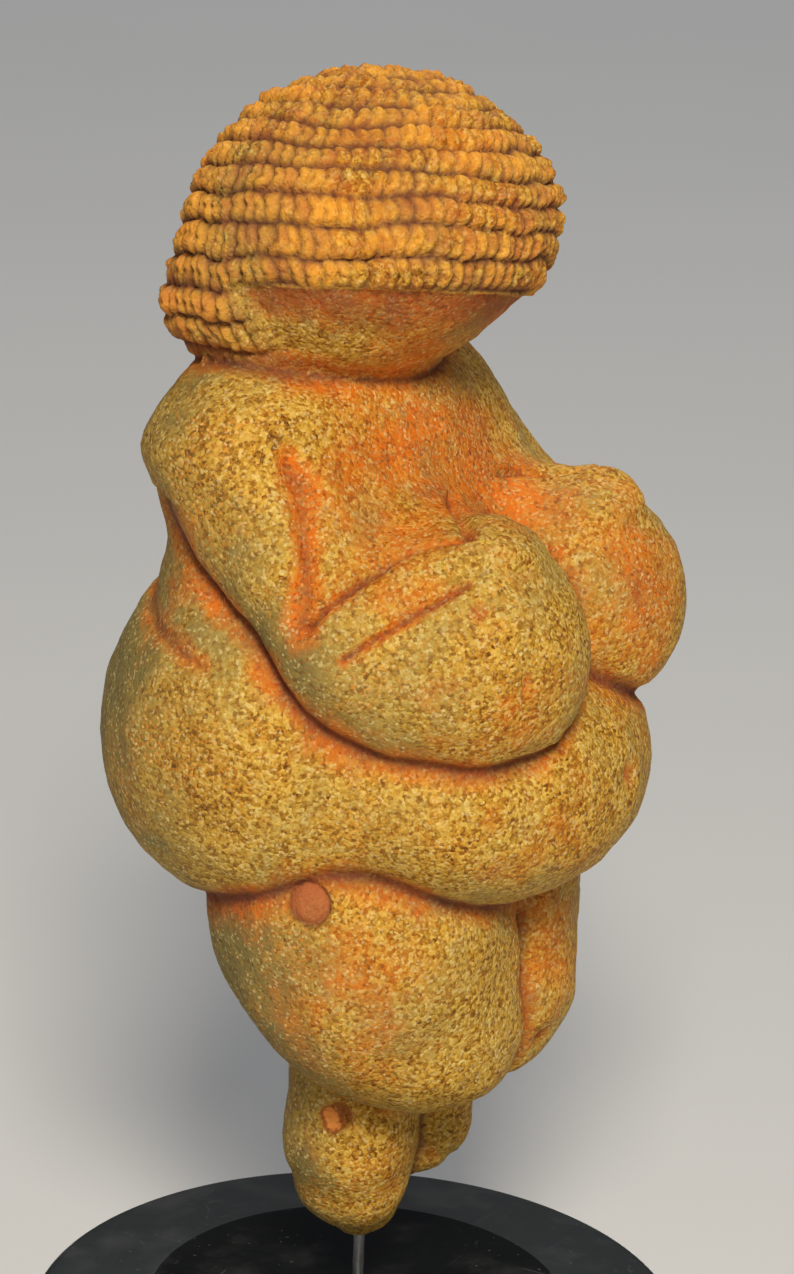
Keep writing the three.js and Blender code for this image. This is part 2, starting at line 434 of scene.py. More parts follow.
    def normals(self, points: np.ndarray, reach: float = 0.08) -> np.ndarray:
        """The outward directions of the figure's distance at points.

        Args:
            points: positions in the figure's own frame.
            reach: how far apart the distances are compared.

        Returns:
            One unit vector for each point.
        """
        corners = ((1, -1, -1), (-1, -1, 1), (-1, 1, -1), (1, 1, 1))
        total = np.zeros_like(points)
        for corner in corners:
            step = np.array(corner, float)
            total += step * self.distance(points + step * reach)[:, None]
        return total / np.maximum(lengths(total), 1e-9)[:, None]

    def at_angle(
        self, angles: np.ndarray, heights: np.ndarray, start: float = 42.0, rounds: int = 60,
    ) -> np.ndarray:
        """Points of the skin met by going level inwards from outside.

        Args:
            angles: directions in degrees from the front.
            heights: heights in millimetres.
            start: how far from the middle the way begins.
            rounds: number of steps inwards.

        Returns:
            One point on the skin for each pair.
        """
        turn = np.radians(angles)
        outward = np.stack([np.sin(turn), -np.cos(turn), np.zeros_like(turn)], axis=1)
        points = outward * start + np.stack([0 * turn, 0 * turn, heights], axis=1)
        for _ in range(rounds):
            points = points - outward * self.distance(points)[:, None] * 0.8
        return points


@dataclass(frozen=True)
class Stroke:
    """A line cut into the stone with a flint point, or a low ridge where its depth is negative.

    Args:
        route: angle from the front and height of the points that it passes.
        width: half its width at each point, or one value for all.
        depth: its depth.
        sides: 1 for the figure's left side, -1 for its right.
        ochre: how much red colour it holds.
        dark: how much painted shade its bottom gets.
    """

    route: Route
    width: float | tuple[float, ...]
    depth: float
    sides: tuple[int, ...] = (-1, 1)
    ochre: float = 0.6
    dark: float = 0.7

    def lines(self, shape: FigureShape, spacing: float = 1.2) -> list[tuple[np.ndarray, np.ndarray]]:
        """The stroke's course on the skin, once for each side.

        Args:
            shape: the figure that it is cut in.
            spacing: distance between the points of the course.

        Returns:
            For each side the points and the half widths there.
        """
        angles, heights = (np.array(column, float) for column in zip(*self.route))
        widths = np.broadcast_to(np.array(self.width, float), angles.shape)
        run = np.hypot(np.diff(angles) * MM_TO_A_DEGREE, np.diff(heights))
        along = np.concatenate([[0.0], np.cumsum(run)])
        steps = np.linspace(0.0, along[-1], max(int(along[-1] / spacing), 2) + 1)
        course = [np.interp(steps, along, values) for values in (angles, heights, widths)]
        return [(shape.at_angle(course[0] * side, course[1]), course[2]) for side in self.sides]


@dataclass(frozen=True)
class Groove:
    """How a seam is cut in.

    Args:
        width: half its width.
        depth: its depth.
        ochre: how much red colour it holds.
    """

    width: float
    depth: float
    ochre: float


@dataclass(frozen=True)
class Pit:
    """A small hollow in the stone.

    Args:
        angle: direction from the front in degrees.
        height: height in millimetres.
        size: half its width and half its height.
        depth: how deep it is.
        ochre: how much red colour it holds.
    """

    angle: float
    height: float
    size: tuple[float, float]
    depth: float
    ochre: float = 0.5


@dataclass(frozen=True)
class Notch:
    """A broken place with straight sides that is deeper towards one end.

    Args:
        angle: direction from the front in degrees.
        height: height in millimetres.
        size: half its length and half its width.
        depth: how deep its deep end is.
        turn: how far its length leans from level, in degrees.
    """

    angle: float
    height: float
    size: tuple[float, float]
    depth: float
    turn: float


@dataclass(frozen=True)
class Patch:
    """A soft patch of red ochre on the skin.

    Args:
        angle: direction from the front in degrees.
        height: height in millimetres.
        reach: how far from its middle it fades.
        amount: how much ochre it holds.
    """

    angle: float
    height: float
    reach: float
    amount: float


@dataclass(frozen=True)
class KnotRows:
    """Rows of small knots that run round the head like rings of a cap.

    Args:
        centre: middle of the head's dome.
        lean: how far the axis of the rows leans to the left and to the back.
        radius: radius of the dome across.
        rise: height of the dome over its widest ring.
        arc: length over the dome from its crown to its widest ring.
        pitch: height of a row along the surface.
        knot: width of a knot.
        rows: number of rows down to the rim.
        nape_rows: further rows at the back of the head.
        nape_angle: angle from the front where those end.
        nape_scatter: how unevenly they end, in degrees.
        relief: height of the rows over the lines between them.
        beading: height of the knots over the gaps between them.
        wander: ripples that the rows follow.
        dent: how deep the middle of a knot is pressed in, as a share of its height.
        wear: how much lower the rubbed knots are, as a share of their height.
        last_wear: the same for the row at the rim.
    """

    centre: Triple = (-0.7, 1.45, 95.4)
    lean: tuple[float, float] = (0.188, 0.10)
    radius: float = 16.4
    rise: float = 14.1
    arc: float = 24.0
    pitch: float = 2.62
    knot: float = 1.3
    rows: int = 11
    nape_rows: int = 4
    nape_angle: float = 108.0
    nape_scatter: float = 14.0
    relief: float = 0.45
    beading: float = 0.85
    wander: Layers = ((0.26, 9.0, 3), (0.10, 3.0, 12))
    dent: float = 0.22
    wear: float = 0.18
    last_wear: float = 0.4

    def ring_place(self, points: np.ndarray) -> tuple[np.ndarray, np.ndarray]:
        """Where points lie on the cap.

        Args:
            points: positions in the figure's own frame.

        Returns:
            The distance over the surface from the crown, and the angle round the cap's axis
            from the front, in radians.
        """
        axis = np.array((self.lean[0], self.lean[1], 1.0))
        axis /= np.linalg.norm(axis)
        side = np.cross((0.0, 1.0, 0.0), axis)
        side /= np.linalg.norm(side)
        front = np.cross(axis, side) * -1.0
        local = points - np.array(self.centre)
        rise = local @ axis
        across, ahead = local @ side, local @ front
        spread = np.hypot(across, ahead)
        tilt = np.arctan2(spread / self.radius, np.maximum(rise, 0.0) / self.rise)
        down = tilt / (0.5 * math.pi) * self.arc + np.maximum(-rise, 0.0)
        return down, np.arctan2(across, ahead)

    def cover(self, points: np.ndarray) -> np.ndarray:
        """How surely points lie on the cap, from 0 to 1.

        Args:
            points: positions in the figure's own frame.

        Returns:
            One share for each point.
        """
        down, angle = self.ring_place(points)
        rim, foot = (
            smooth_step(self.pitch * count - down, -0.15, 0.35)
            for count in (self.rows, self.rows + self.nape_rows)
        )
        return np.maximum(rim, foot * self._nape(down, angle))

    def _nape(self, down: np.ndarray, angle: np.ndarray) -> np.ndarray:
        """How surely points lie behind the place where their row of the nape ends, from 0 to 1.

        Args:
            down: distance over the surface from the crown.
            angle: angle round the cap's axis in radians.

        Returns:
            One share for each point.
        """
        uneven = hashed(np.floor(down / self.pitch), 4.0, 6.0) - 0.5
        end = self.nape_angle + self.nape_scatter * uneven
        return smooth_step(np.degrees(np.abs(angle)) - end, -8.0, 8.0)

    def height(self, points: np.ndarray) -> np.ndarray:
        """The carved height of the knots.

        Args:
            points: positions in the figure's own frame.

        Returns:
            Height above the floor of the lines between the rows.
        """
        down, angle = self.ring_place(points)
        wandered = (down + uneven(points, self.wander)) / self.pitch
        row = np.floor(wandered)
        across_row = wandered - row - 0.5
        # each ring holds a whole number of knots, slanted and curved from row to row
        ring = self.radius * np.sin(np.minimum((row + 0.5) * self.pitch / self.arc, 1.0) * 0.5 * math.pi)
        count = np.maximum(np.round(2.0 * math.pi * ring / self.knot), 5.0)
        slant = 0.5 * (hashed(row, 1.0, 2.0) - 0.5)
        turn = angle / (2.0 * math.pi) * count + 0.5 * (row % 2) + slant * across_row
        turn += 0.75 * np.abs(across_row) + 0.10 * ripple(points, 3.2, seed=9)
        index = np.floor(turn)
        along_row = turn - index - 0.5 + 0.2 * (hashed(index, row, 1.0) - 0.5)
        # knots differ in height and have a dent in the middle; the last row is worn down
        strength = 0.6 + 0.7 * hashed(index, row, 5.0)
        knot = np.maximum(np.cos(math.pi * np.clip(along_row, -0.5, 0.5)), 0.0) ** 0.7
        middle = 1.0 - self.dent * bell(across_row + 0.12 * (hashed(index, row, 7.0) - 0.5), 0.10)
        fold = np.maximum(np.cos(math.pi * across_row), 0.0) ** 0.5 * middle
        worn = 1.0 - self.wear + self.wear * np.tanh(1.3 * ripple(points, 12.0, seed=8))
        last_row = self.pitch * (self.rows - 0.7), self.pitch * self.rows
        last = 1.0 - self.last_wear * smooth_step(down, *last_row)
        raised = fold * (self.relief + self.beading * strength * knot)
        return raised * worn * np.where(row < self.rows, last, 1.0)

    def rim_shadow(self, points: np.ndarray) -> np.ndarray:
        """How near points lie under the rim of the cap, from 0 to 1.

        Args:
            points: positions in the figure's own frame.

        Returns:
            One share for each point.
        """
        down, angle = self.ring_place(points)
        below = down - self.pitch * self.rows
        shade = smooth_step(below, -0.4, 0.2) * (1.0 - smooth_step(below, 0.5, 6.5))
        return shade * (1.0 - self._nape(down, angle))


@dataclass(frozen=True)
class Plug:
    """A round nodule of iron-brown stone that lies a little sunken in the surface.

    Args:
        angle: direction from the front in degrees.
        height: height in millimetres.
        radius: its radius.
        sunk: how far its face lies under the skin.
        seam: depth of the gap round it.
    """

    angle: float = -76.2
    height: float = 41.1
    radius: float = 1.75
    sunk: float = 0.32
    seam: float = 0.7


@dataclass(frozen=True)
class FingerLines:
    """The shallow lines between the fingers, placed from the middle of the hand.

    Args:
        places: where they lie across the hand.
        spread: how much they part towards the finger tips.
        width: half the width of one.
        depth: depth of one.
        reach: how far they show along, across and over the hand.
    """

    places: Triple = (-1.35, -0.1, 1.15)
    spread: float = 0.12
    width: float = 0.24
    depth: float = 0.22
    reach: Triple = (5.4, 3.6, 3.0)


STROKES = {
    "armpit": Stroke(
        ((-87.5, 79.6), (-84, 78), (-81.4, 76.2), (-78.3, 72.8), (-77.6, 69.8), (-77.4, 67.2)),
        (0.9, 1.4, 1.15, 0.95, 0.95, 1.3), 1.1, ochre=1.1, dark=0.55,
    ),
    "forearm_top": Stroke(
        ((-77.4, 66.6), (-72.3, 69), (-65.8, 70.8), (-58, 72.3), (-47.7, 73.6), (-36.6, 74.5), (-27, 74.7)),
        (0.4, 0.5, 0.55, 0.55, 0.5, 0.5, 0.4), 0.85, ochre=0.9, dark=0.85,
    ),
    "forearm_under": Stroke(
        ((-69, 64.7), (-63, 66.6), (-54.4, 68.8), (-44, 71)),
        (0.35, 0.45, 0.5, 0.35), 0.65, ochre=0.9, dark=0.8,
    ),
    "waist": Stroke(((154, 67), (130, 64.8), (112, 63.5), (99, 62)), (0.6, 1.0, 1.0, 0.6), 0.5),
    "spine": Stroke(((180, 79), (180, 72), (180, 66)), (1.2, 1.8, 1.4), 0.55, sides=(1,), ochre=0.3),
} | {
    f"thigh_scratch_{number}": Stroke(route, 0.3, depth, sides=(1,), ochre=0.0, dark=0.28)
    for number, (route, depth) in enumerate((
        (((-112, 38), (-106, 32), (-96, 26.5)), 0.22),
        (((-108, 38.5), (-101, 32), (-90, 26)), 0.24),
        (((-104, 37), (-95, 31), (-86, 26.5)), 0.2),
        (((-99, 38), (-91, 33.5), (-84, 29)), 0.18),
    ))
}

SEAMS = {
    Seam.BREAST: Groove(0.75, 0.85, 0.9),
    Seam.BELLY: Groove(0.9, 0.65, 0.9),
    Seam.KNEE: Groove(0.6, 0.5, 0.6),
    Seam.CALVES: Groove(0.6, 0.2, 0.5),
    Seam.CLEAVAGE: Groove(0.7, 0.6, 1.0),
    Seam.THIGHS: Groove(0.7, 0.9, 0.75),
    Seam.CLEFT: Groove(0.9, 0.7, 0.6),
    Seam.NECK: Groove(0.7, 0.35, 0.8),
}

PITS = (
    Pit(-35, 63, (0.45, 1.3), 0.7, 0.9),
    Pit(-43, 69, (1.1, 0.8), 0.6, 0.9),
    Pit(2, 50.5, (1.0, 0.9), 0.7, 0.8),
    Pit(-53, 33, (0.35, 0.9), 0.6, 0.9),
    Pit(9, 23, (0.8, 0.9), 0.7, 0.9),
    Pit(-20, 57, (0.7, 0.6), 0.3, 0.4),
    Pit(38, 66, (0.6, 0.9), 0.4, 0.5),
    Pit(120, 52, (0.9, 0.6), 0.45, 0.4),
    Pit(-150, 48, (0.8, 0.8), 0.45, 0.4),
    Pit(160, 44, (0.6, 1.0), 0.4, 0.4),
    Pit(70, 30, (0.7, 0.7), 0.4, 0.5),
)

CHIP = Notch(-76.0, 16.2, (1.5, 1.3), 1.3, 32.0)

OCHRE_PATCHES = (
    Patch(-30, 77, 10, 1.0),
    Patch(10, 76, 10, 1.0),
    Patch(45, 76, 8, 0.7),
    Patch(-62, 73, 7, 0.9),
    Patch(15, 64, 10, 0.65),
    Patch(-38, 60, 8, 0.4),
    Patch(-30, 48, 11, 0.4),
    Patch(-60, 34, 9, 0.4),
    Patch(60, 46, 10, 0.4),
    Patch(-40, 10, 5, 0.3),
    Patch(-40, 87, 9, 0.55),
    Patch(30, 86, 9, 0.55),
    Patch(10, 33, 7, 0.6),
    Patch(-20, 101, 9, 0.45),
    Patch(180, 62, 9, 0.5),
)

# the direction of the side that gets painted shade
SHADED_SIDE = (-0.465, 0.885, 0.0)

GROUND: Layers = ((0.15, 11.0, 5), (0.07, 4.5, 6), (0.03, 2.0, 7))

FINGERS = FingerLines()


class MeshArrays:
    """A mesh's points and edges as arrays, in millimetres of the figure's own frame."""

    LONGEST_MOVE = 0.8
    SHARE_OF_WAY = 0.95

    def __init__(self, mesh: bpy.types.Mesh, origin: np.ndarray) -> None:
        """Reads the mesh.

        Args:
            mesh: the mesh that is read and written.
            origin: where the figure's own zero lies, in metres.
        """
        self.mesh = mesh
        self.origin = origin
        flat = np.empty(len(mesh.vertices) * 3, np.float32)
        mesh.vertices.foreach_get("co", flat)
        self.points = (flat.reshape(-1, 3).astype(float) - origin) / MM
        ends = np.empty(len(mesh.edges) * 2, np.int32)
        mesh.edges.foreach_get("vertices", ends)
        self.edges = ends.reshape(-1, 2)

    def neighbour_mean(self) -> np.ndarray:
        """The middle of each point's neighbours along the mesh's edges.

        Returns:
            One place for each point.
        """
        count = len(self.points)
        a, b = self.edges[:, 0], self.edges[:, 1]
        both = np.concatenate([a, b])
        other = self.points[np.concatenate([b, a])]
        degree = np.maximum(np.bincount(both, minlength=count), 1)
        sums = [np.bincount(both, weights=other[:, axis], minlength=count) for axis in range(3)]
        return np.stack(sums, axis=1) / degree[:, None]

    def settle(self, shape: FigureShape, rounds: int, spread: float = 0.5) -> np.ndarray:
        """Spreads the points evenly and moves them onto the figure's skin.

        Args:
            shape: the figure.
            rounds: how often both are done.
            spread: share of the way to the neighbours' middle that a point slides.

        Returns:
            The skin's outward directions at the points.
        """
        normals = shape.normals(self.points)
        for _ in range(rounds):
            slide = self.neighbour_mean() - self.points
            slide -= normals * np.einsum("ij,ij->i", slide, normals)[:, None]
            self.points += slide * spread
            gap = np.clip(shape.distance(self.points), -self.LONGEST_MOVE, self.LONGEST_MOVE)
            self.points -= normals * gap[:, None] * self.SHARE_OF_WAY
            normals = shape.normals(self.points)
        self.points -= normals * shape.distance(self.points)[:, None]
        return normals

    def write(self) -> None:
        """Puts the points back into the mesh."""
        flat = (self.points * MM + self.origin).astype(np.float32).ravel()
        self.mesh.vertices.foreach_set("co", flat)
        self.mesh.update()


class Carving:
    """All that is cut into the figure's smooth masses, and the measures its finish reads."""

    def __init__(self, shape: FigureShape, cap: KnotRows, plug: Plug) -> None:
        """Lays the strokes' courses on the skin.

        Args:
            shape: the figure's masses.
            cap: the knots of the head.
            plug: the round nodule.
        """
        self.shape = shape
        self.cap = cap
        self.plug = plug
        self.courses = {name: stroke.lines(shape) for name, stroke in STROKES.items()}

    def stroke_bells(self, points: np.ndarray, name: str, widen: float = 1.0) -> np.ndarray:
        """How near points lie to a stroke.

        Args:
            points: positions in the figure's own frame.
            name: the stroke.
            widen: factor on its width.

        Returns:
            1 on the stroke's line, fading to 0 beside it.
        """
        near = np.zeros(len(points))
        for course, widths in self.courses[name]:
            margin = widths.max() * widen * 2.6
            low, high = course.min(axis=0) - margin, course.max(axis=0) + margin
            inside = np.where(np.all((points > low) & (points < high), axis=1))[0]
            best = np.zeros(len(inside))
            for i in range(len(course) - 1):
                bone = course[i + 1] - course[i]
                local = points[inside] - course[i]
                share = np.clip(local @ bone / (bone @ bone), 0.0, 1.0)
                gap = lengths(local - share[:, None] * bone)
                width = (widths[i] + (widths[i + 1] - widths[i]) * share) * widen
                best = np.maximum(best, bell(gap, width))
            near[inside] = np.maximum(near[inside], best)
        return near

    def pit_bells(self, points: np.ndarray, pit: Pit) -> np.ndarray:
        """How near points lie to a pit, from 1 in its middle to 0 outside.

        Args:
            points: positions in the figure's own frame.
            pit: the pit.

        Returns:
            One share for each point.
        """
        local = points - self._on_skin(pit.angle, pit.height)
        flat = np.hypot(local[:, 0], local[:, 1]) / pit.size[0]
        return np.exp(-(flat**2) - (local[:, 2] / pit.size[1]) ** 2)

    def notch(self, points: np.ndarray, widen: float = 1.0) -> tuple[np.ndarray, np.ndarray]:
        """Where points lie in the broken place on the calf.

        Args:
            points: positions in the figure's own frame.
            widen: factor on its size.

        Returns:
            How surely each point lies in it, and how far along towards its deep end, both from 0 to 1.
        """
        local = points - self._on_skin(CHIP.angle, CHIP.height)
        facing, lean = math.radians(CHIP.angle), math.radians(CHIP.turn)
        squareness, same_side = 3.0, 4.0
        level = local[:, 0] * math.cos(facing) + local[:, 1] * math.sin(facing)
        ahead = local[:, 0] * math.sin(facing) - local[:, 1] * math.cos(facing)
        along = (level * math.cos(lean) + local[:, 2] * math.sin(lean)) / CHIP.size[0]
        across = (local[:, 2] * math.cos(lean) - level * math.sin(lean)) / CHIP.size[1]
        spread = np.abs(along) ** squareness + np.abs(across) ** squareness
        edge = spread ** (1.0 / squareness) / widen
        near = (np.abs(ahead) < same_side).astype(float)
        return near * smooth_step(-edge, -1.2, -0.75), np.clip(0.5 + 0.5 * along, 0.0, 1.0)

    def detail_zone(self, points: np.ndarray) -> np.ndarray:
        """Which points lie where the carving is fine and needs a closer mesh.

        Args:
            points: positions in the figure's own frame.

        Returns:
            True for those points.
        """
        on_head = (points[:, 2] > 80.5) & (self.shape.parts(points)["head"] < 0.6)
        round_nodule = lengths(points - self._plug_centre()) < 3.0
        at_break = self.notch(points, 1.5)[0] > 0.0
        at_hands = lengths(folded(points) - np.array(self.shape.hand.at)) < 5.5
        zone = on_head | round_nodule | at_break | at_hands
        for name in ("armpit", "forearm_top", "forearm_under"):
            zone |= self.stroke_bells(points, name, 1.6) > 0.12
        for seam, gap in self.shape.seams(points).items():
            zone |= gap < SEAMS[seam].width * 1.3
        return zone

    def cap_cover(self, points: np.ndarray) -> np.ndarray:
        """How surely points lie on the cap and on the head itself, from 0 to 1.

        Args:
            points: positions in the figure's own frame.

        Returns:
            One share for each point.
        """
        part = self.shape.parts(points)
        below = np.minimum(np.minimum(part["neck"], part["torso"]), part["arms"])
        return self.cap.cover(points) * smooth_step(below - part["head"], 0.0, 0.8)

    def _on_skin(self, angle: float, height: float) -> np.ndarray:
        """The point of the skin at an angle from the front and a height."""
        return self.shape.at_angle(np.array([angle], float), np.array([height], float))[0]

    def _plug_centre(self) -> np.ndarray:
        """The middle of the nodule's face on the skin."""
        return self._on_skin(self.plug.angle, self.plug.height)

    def fingers(self, points: np.ndarray) -> np.ndarray:
        """Depth of the lines between the fingers of both hands.

        Args:
            points: positions in the figure's own frame.

        Returns:
            One depth for each point.
        """
        local = self.shape.hand.local(folded(points))
        across = local[:, 1] - FINGERS.spread * local[:, 0]
        lines = sum(bell(across - place, FINGERS.width) for place in FINGERS.places)
        on_fingers = smooth_step(-local[:, 0], -1.2, 0.2) * smooth_step(local[:, 2], -1.5, 0.0)
        near = bell(lengths(local / np.array(FINGERS.reach)), 1.0)
        return FINGERS.depth * lines * on_fingers * near

    def relief(self, points: np.ndarray) -> np.ndarray:
        """The height that is carved at each point of the smooth skin.

        Args:
            points: positions on the skin.

        Returns:
            Heights, negative where stone is taken away.
        """
        cover = self.cap_cover(points)
        height = uneven(points, GROUND) * (1.0 - 0.6 * cover)
        height += cover * (self.cap.height(points) - 0.42 + 0.05 * ripple(points, 1.5, seed=11))
        height -= 0.5 * self.cap.rim_shadow(points) * (1.0 - cover)
        for name, stroke in STROKES.items():
            height -= stroke.depth * self.stroke_bells(points, name)
        for seam, gap in self.shape.seams(points).items():
            height -= SEAMS[seam].depth * bell(gap, SEAMS[seam].width)
        for pit in PITS:
            height -= pit.depth * self.pit_bells(points, pit)
        inside, deep = self.notch(points)
        height -= CHIP.depth * inside * (0.35 + 0.65 * deep)
        height -= self.fingers(points)
        reach = lengths(points - self._plug_centre())
        inside = 1.0 - smooth_step(reach, self.plug.radius - 0.25, self.plug.radius + 0.1)
        height = height * (1.0 - inside) - self.plug.sunk * inside
        height -= self.plug.seam * bell(reach - self.plug.radius, 0.24)
        return height

    def masks(self, points: np.ndarray, normals: np.ndarray) -> dict[Mask, np.ndarray]:
        """The measures of the surface that the stone's finish reads.

        Args:
            points: positions on the smooth skin.
            normals: outward directions there.

        Returns:
            One value from 0 to 1 for each mask and point.
        """
        def closed(reach: float) -> np.ndarray:
            """How much of the space over a point is filled by stone beside it."""
            return np.clip(1.0 - self.shape.distance(points + normals * reach) / reach, 0.0, 1.0)

        # the crevice share is painted shade: darker where stone closes in over a point
        narrow_fold, wide_fold = 1.4, 4.0
        crevice_shade = closed(narrow_fold)
        ochre = 0.9 * closed(wide_fold)
        for name, stroke in STROKES.items():
            # painted shade at the bottom of the stroke
            crevice_shade = np.maximum(crevice_shade, stroke.dark * self.stroke_bells(points, name, 0.7))
            ochre = np.maximum(ochre, stroke.ochre * self.stroke_bells(points, name, 1.6))
        # painted shade along the line with a softer edge, and ochre a little beyond it
        for seam, gap in self.shape.seams(points).items():
            groove = SEAMS[seam]
            crevice_shade = np.maximum(crevice_shade, 0.95 * bell(gap, groove.width * 0.9))
            crevice_shade = np.maximum(crevice_shade, 0.55 * bell(gap, groove.width * 2.0))
            ochre = np.maximum(ochre, 0.85 * groove.ochre * bell(gap, groove.width * 2.6))
        for pit in PITS:
            ochre = np.maximum(ochre, pit.ochre * self.pit_bells(points, pit))
            # painted shade in the pit
            crevice_shade = np.maximum(crevice_shade, 0.6 * self.pit_bells(points, pit))
        for patch in OCHRE_PATCHES:
            away = lengths(points - self._on_skin(patch.angle, patch.height))
            ochre = np.maximum(ochre, patch.amount * bell(away, patch.reach))
        cover = self.cap_cover(points)
        highest = 0.8 * (self.cap.relief + self.cap.beading)
        # painted shade between the knots, where their carved height is low
        floor = 1.0 - np.clip(self.cap.height(points) / highest, 0.0, 1.0)
        crevice_shade = np.maximum(crevice_shade, cover * floor)
        # under the cap's rim: more ochre, and painted shade through the crevice share
        shadow = self.cap.rim_shadow(points) * (1.0 - cover)
        ochre = np.maximum(ochre, 0.42 * cover + 0.95 * shadow)
        crevice_shade = np.maximum(crevice_shade, 0.7 * shadow)
        broken, deep = self.notch(points)
        reach = lengths(points - self._plug_centre())
        # painted shade in the gap round the nodule
        crevice_shade = np.maximum(crevice_shade, bell(reach - self.plug.radius, 0.3))
        # painted shade: darker on the side turned from the light and on faces turned down
        painted_side_shade = smooth_step(normals @ np.array(SHADED_SIDE), -0.05, 0.85)
        painted_side_shade += 0.35 * smooth_step(-normals[:, 2], 0.15, 0.9)
        return {
            Mask.CREVICE_SHADE: crevice_shade,
            Mask.OCHRE: ochre,
            Mask.PLUG: 1.0 - smooth_step(reach, self.plug.radius - 0.2, self.plug.radius + 0.1),
            Mask.CAP: cover,
            # the break's share: high on its shallow facet, which is painted lit, low towards its deep end,
            # which is painted shade
            Mask.CHIP: broken * (0.4 + 0.6 * smooth_step(deep, 0.62, 0.32)),
            Mask.PAINTED_SIDE_SHADE: np.minimum(painted_side_shade, 1.0),
        }


def filed(block: bmesh.types.BMesh, name: str) -> bpy.types.Mesh:
    """A new mesh with a bmesh's shape; the bmesh is let go.

    Args:
        block: the bmesh.
        name: the mesh's name.

    Returns:
        The mesh.
    """
    mesh = bpy.data.meshes.new(name)
    block.to_mesh(mesh)
    block.free()
    return mesh


def linked_object(name: str, mesh: bpy.types.Mesh) -> bpy.types.Object:
    """A new object that shows a mesh.

    Args:
        name: the object's name.
        mesh: its mesh.

    Returns:
        The object.
    """
    piece = bpy.data.objects.new(name, mesh)
    bpy.context.scene.collection.objects.link(piece)
    return piece


def applied(piece: bpy.types.Object) -> bpy.types.Mesh:
    """The piece's mesh with its modifiers carried out, which replaces the old one.

    Args:
        piece: the piece.

    Returns:
        The new mesh.
    """
    graph = bpy.context.evaluated_depsgraph_get()
    mesh = bpy.data.meshes.new_from_object(piece.evaluated_get(graph))
    piece.modifiers.clear()
    old = piece.data
    piece.data = mesh
    bpy.data.meshes.remove(old)
    return mesh


def dressed(piece: bpy.types.Object, material: bpy.types.Material) -> None:
    """Gives a piece one material and smooth shading.

    Args:
        piece: the piece.
        material: its material.
    """
    piece.data.materials.clear()
    piece.data.materials.append(material)
    piece.data.polygons.foreach_set("use_smooth", [True] * len(piece.data.polygons))


def declared(piece: bpy.types.Object, node: Node) -> None:
    """Hangs a piece on the root body and hides the frame's part for its node.

    Args:
        piece: the piece.
        node: the frame's node that it stands for.
    """
    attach(piece, "root")
    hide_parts(node.value)


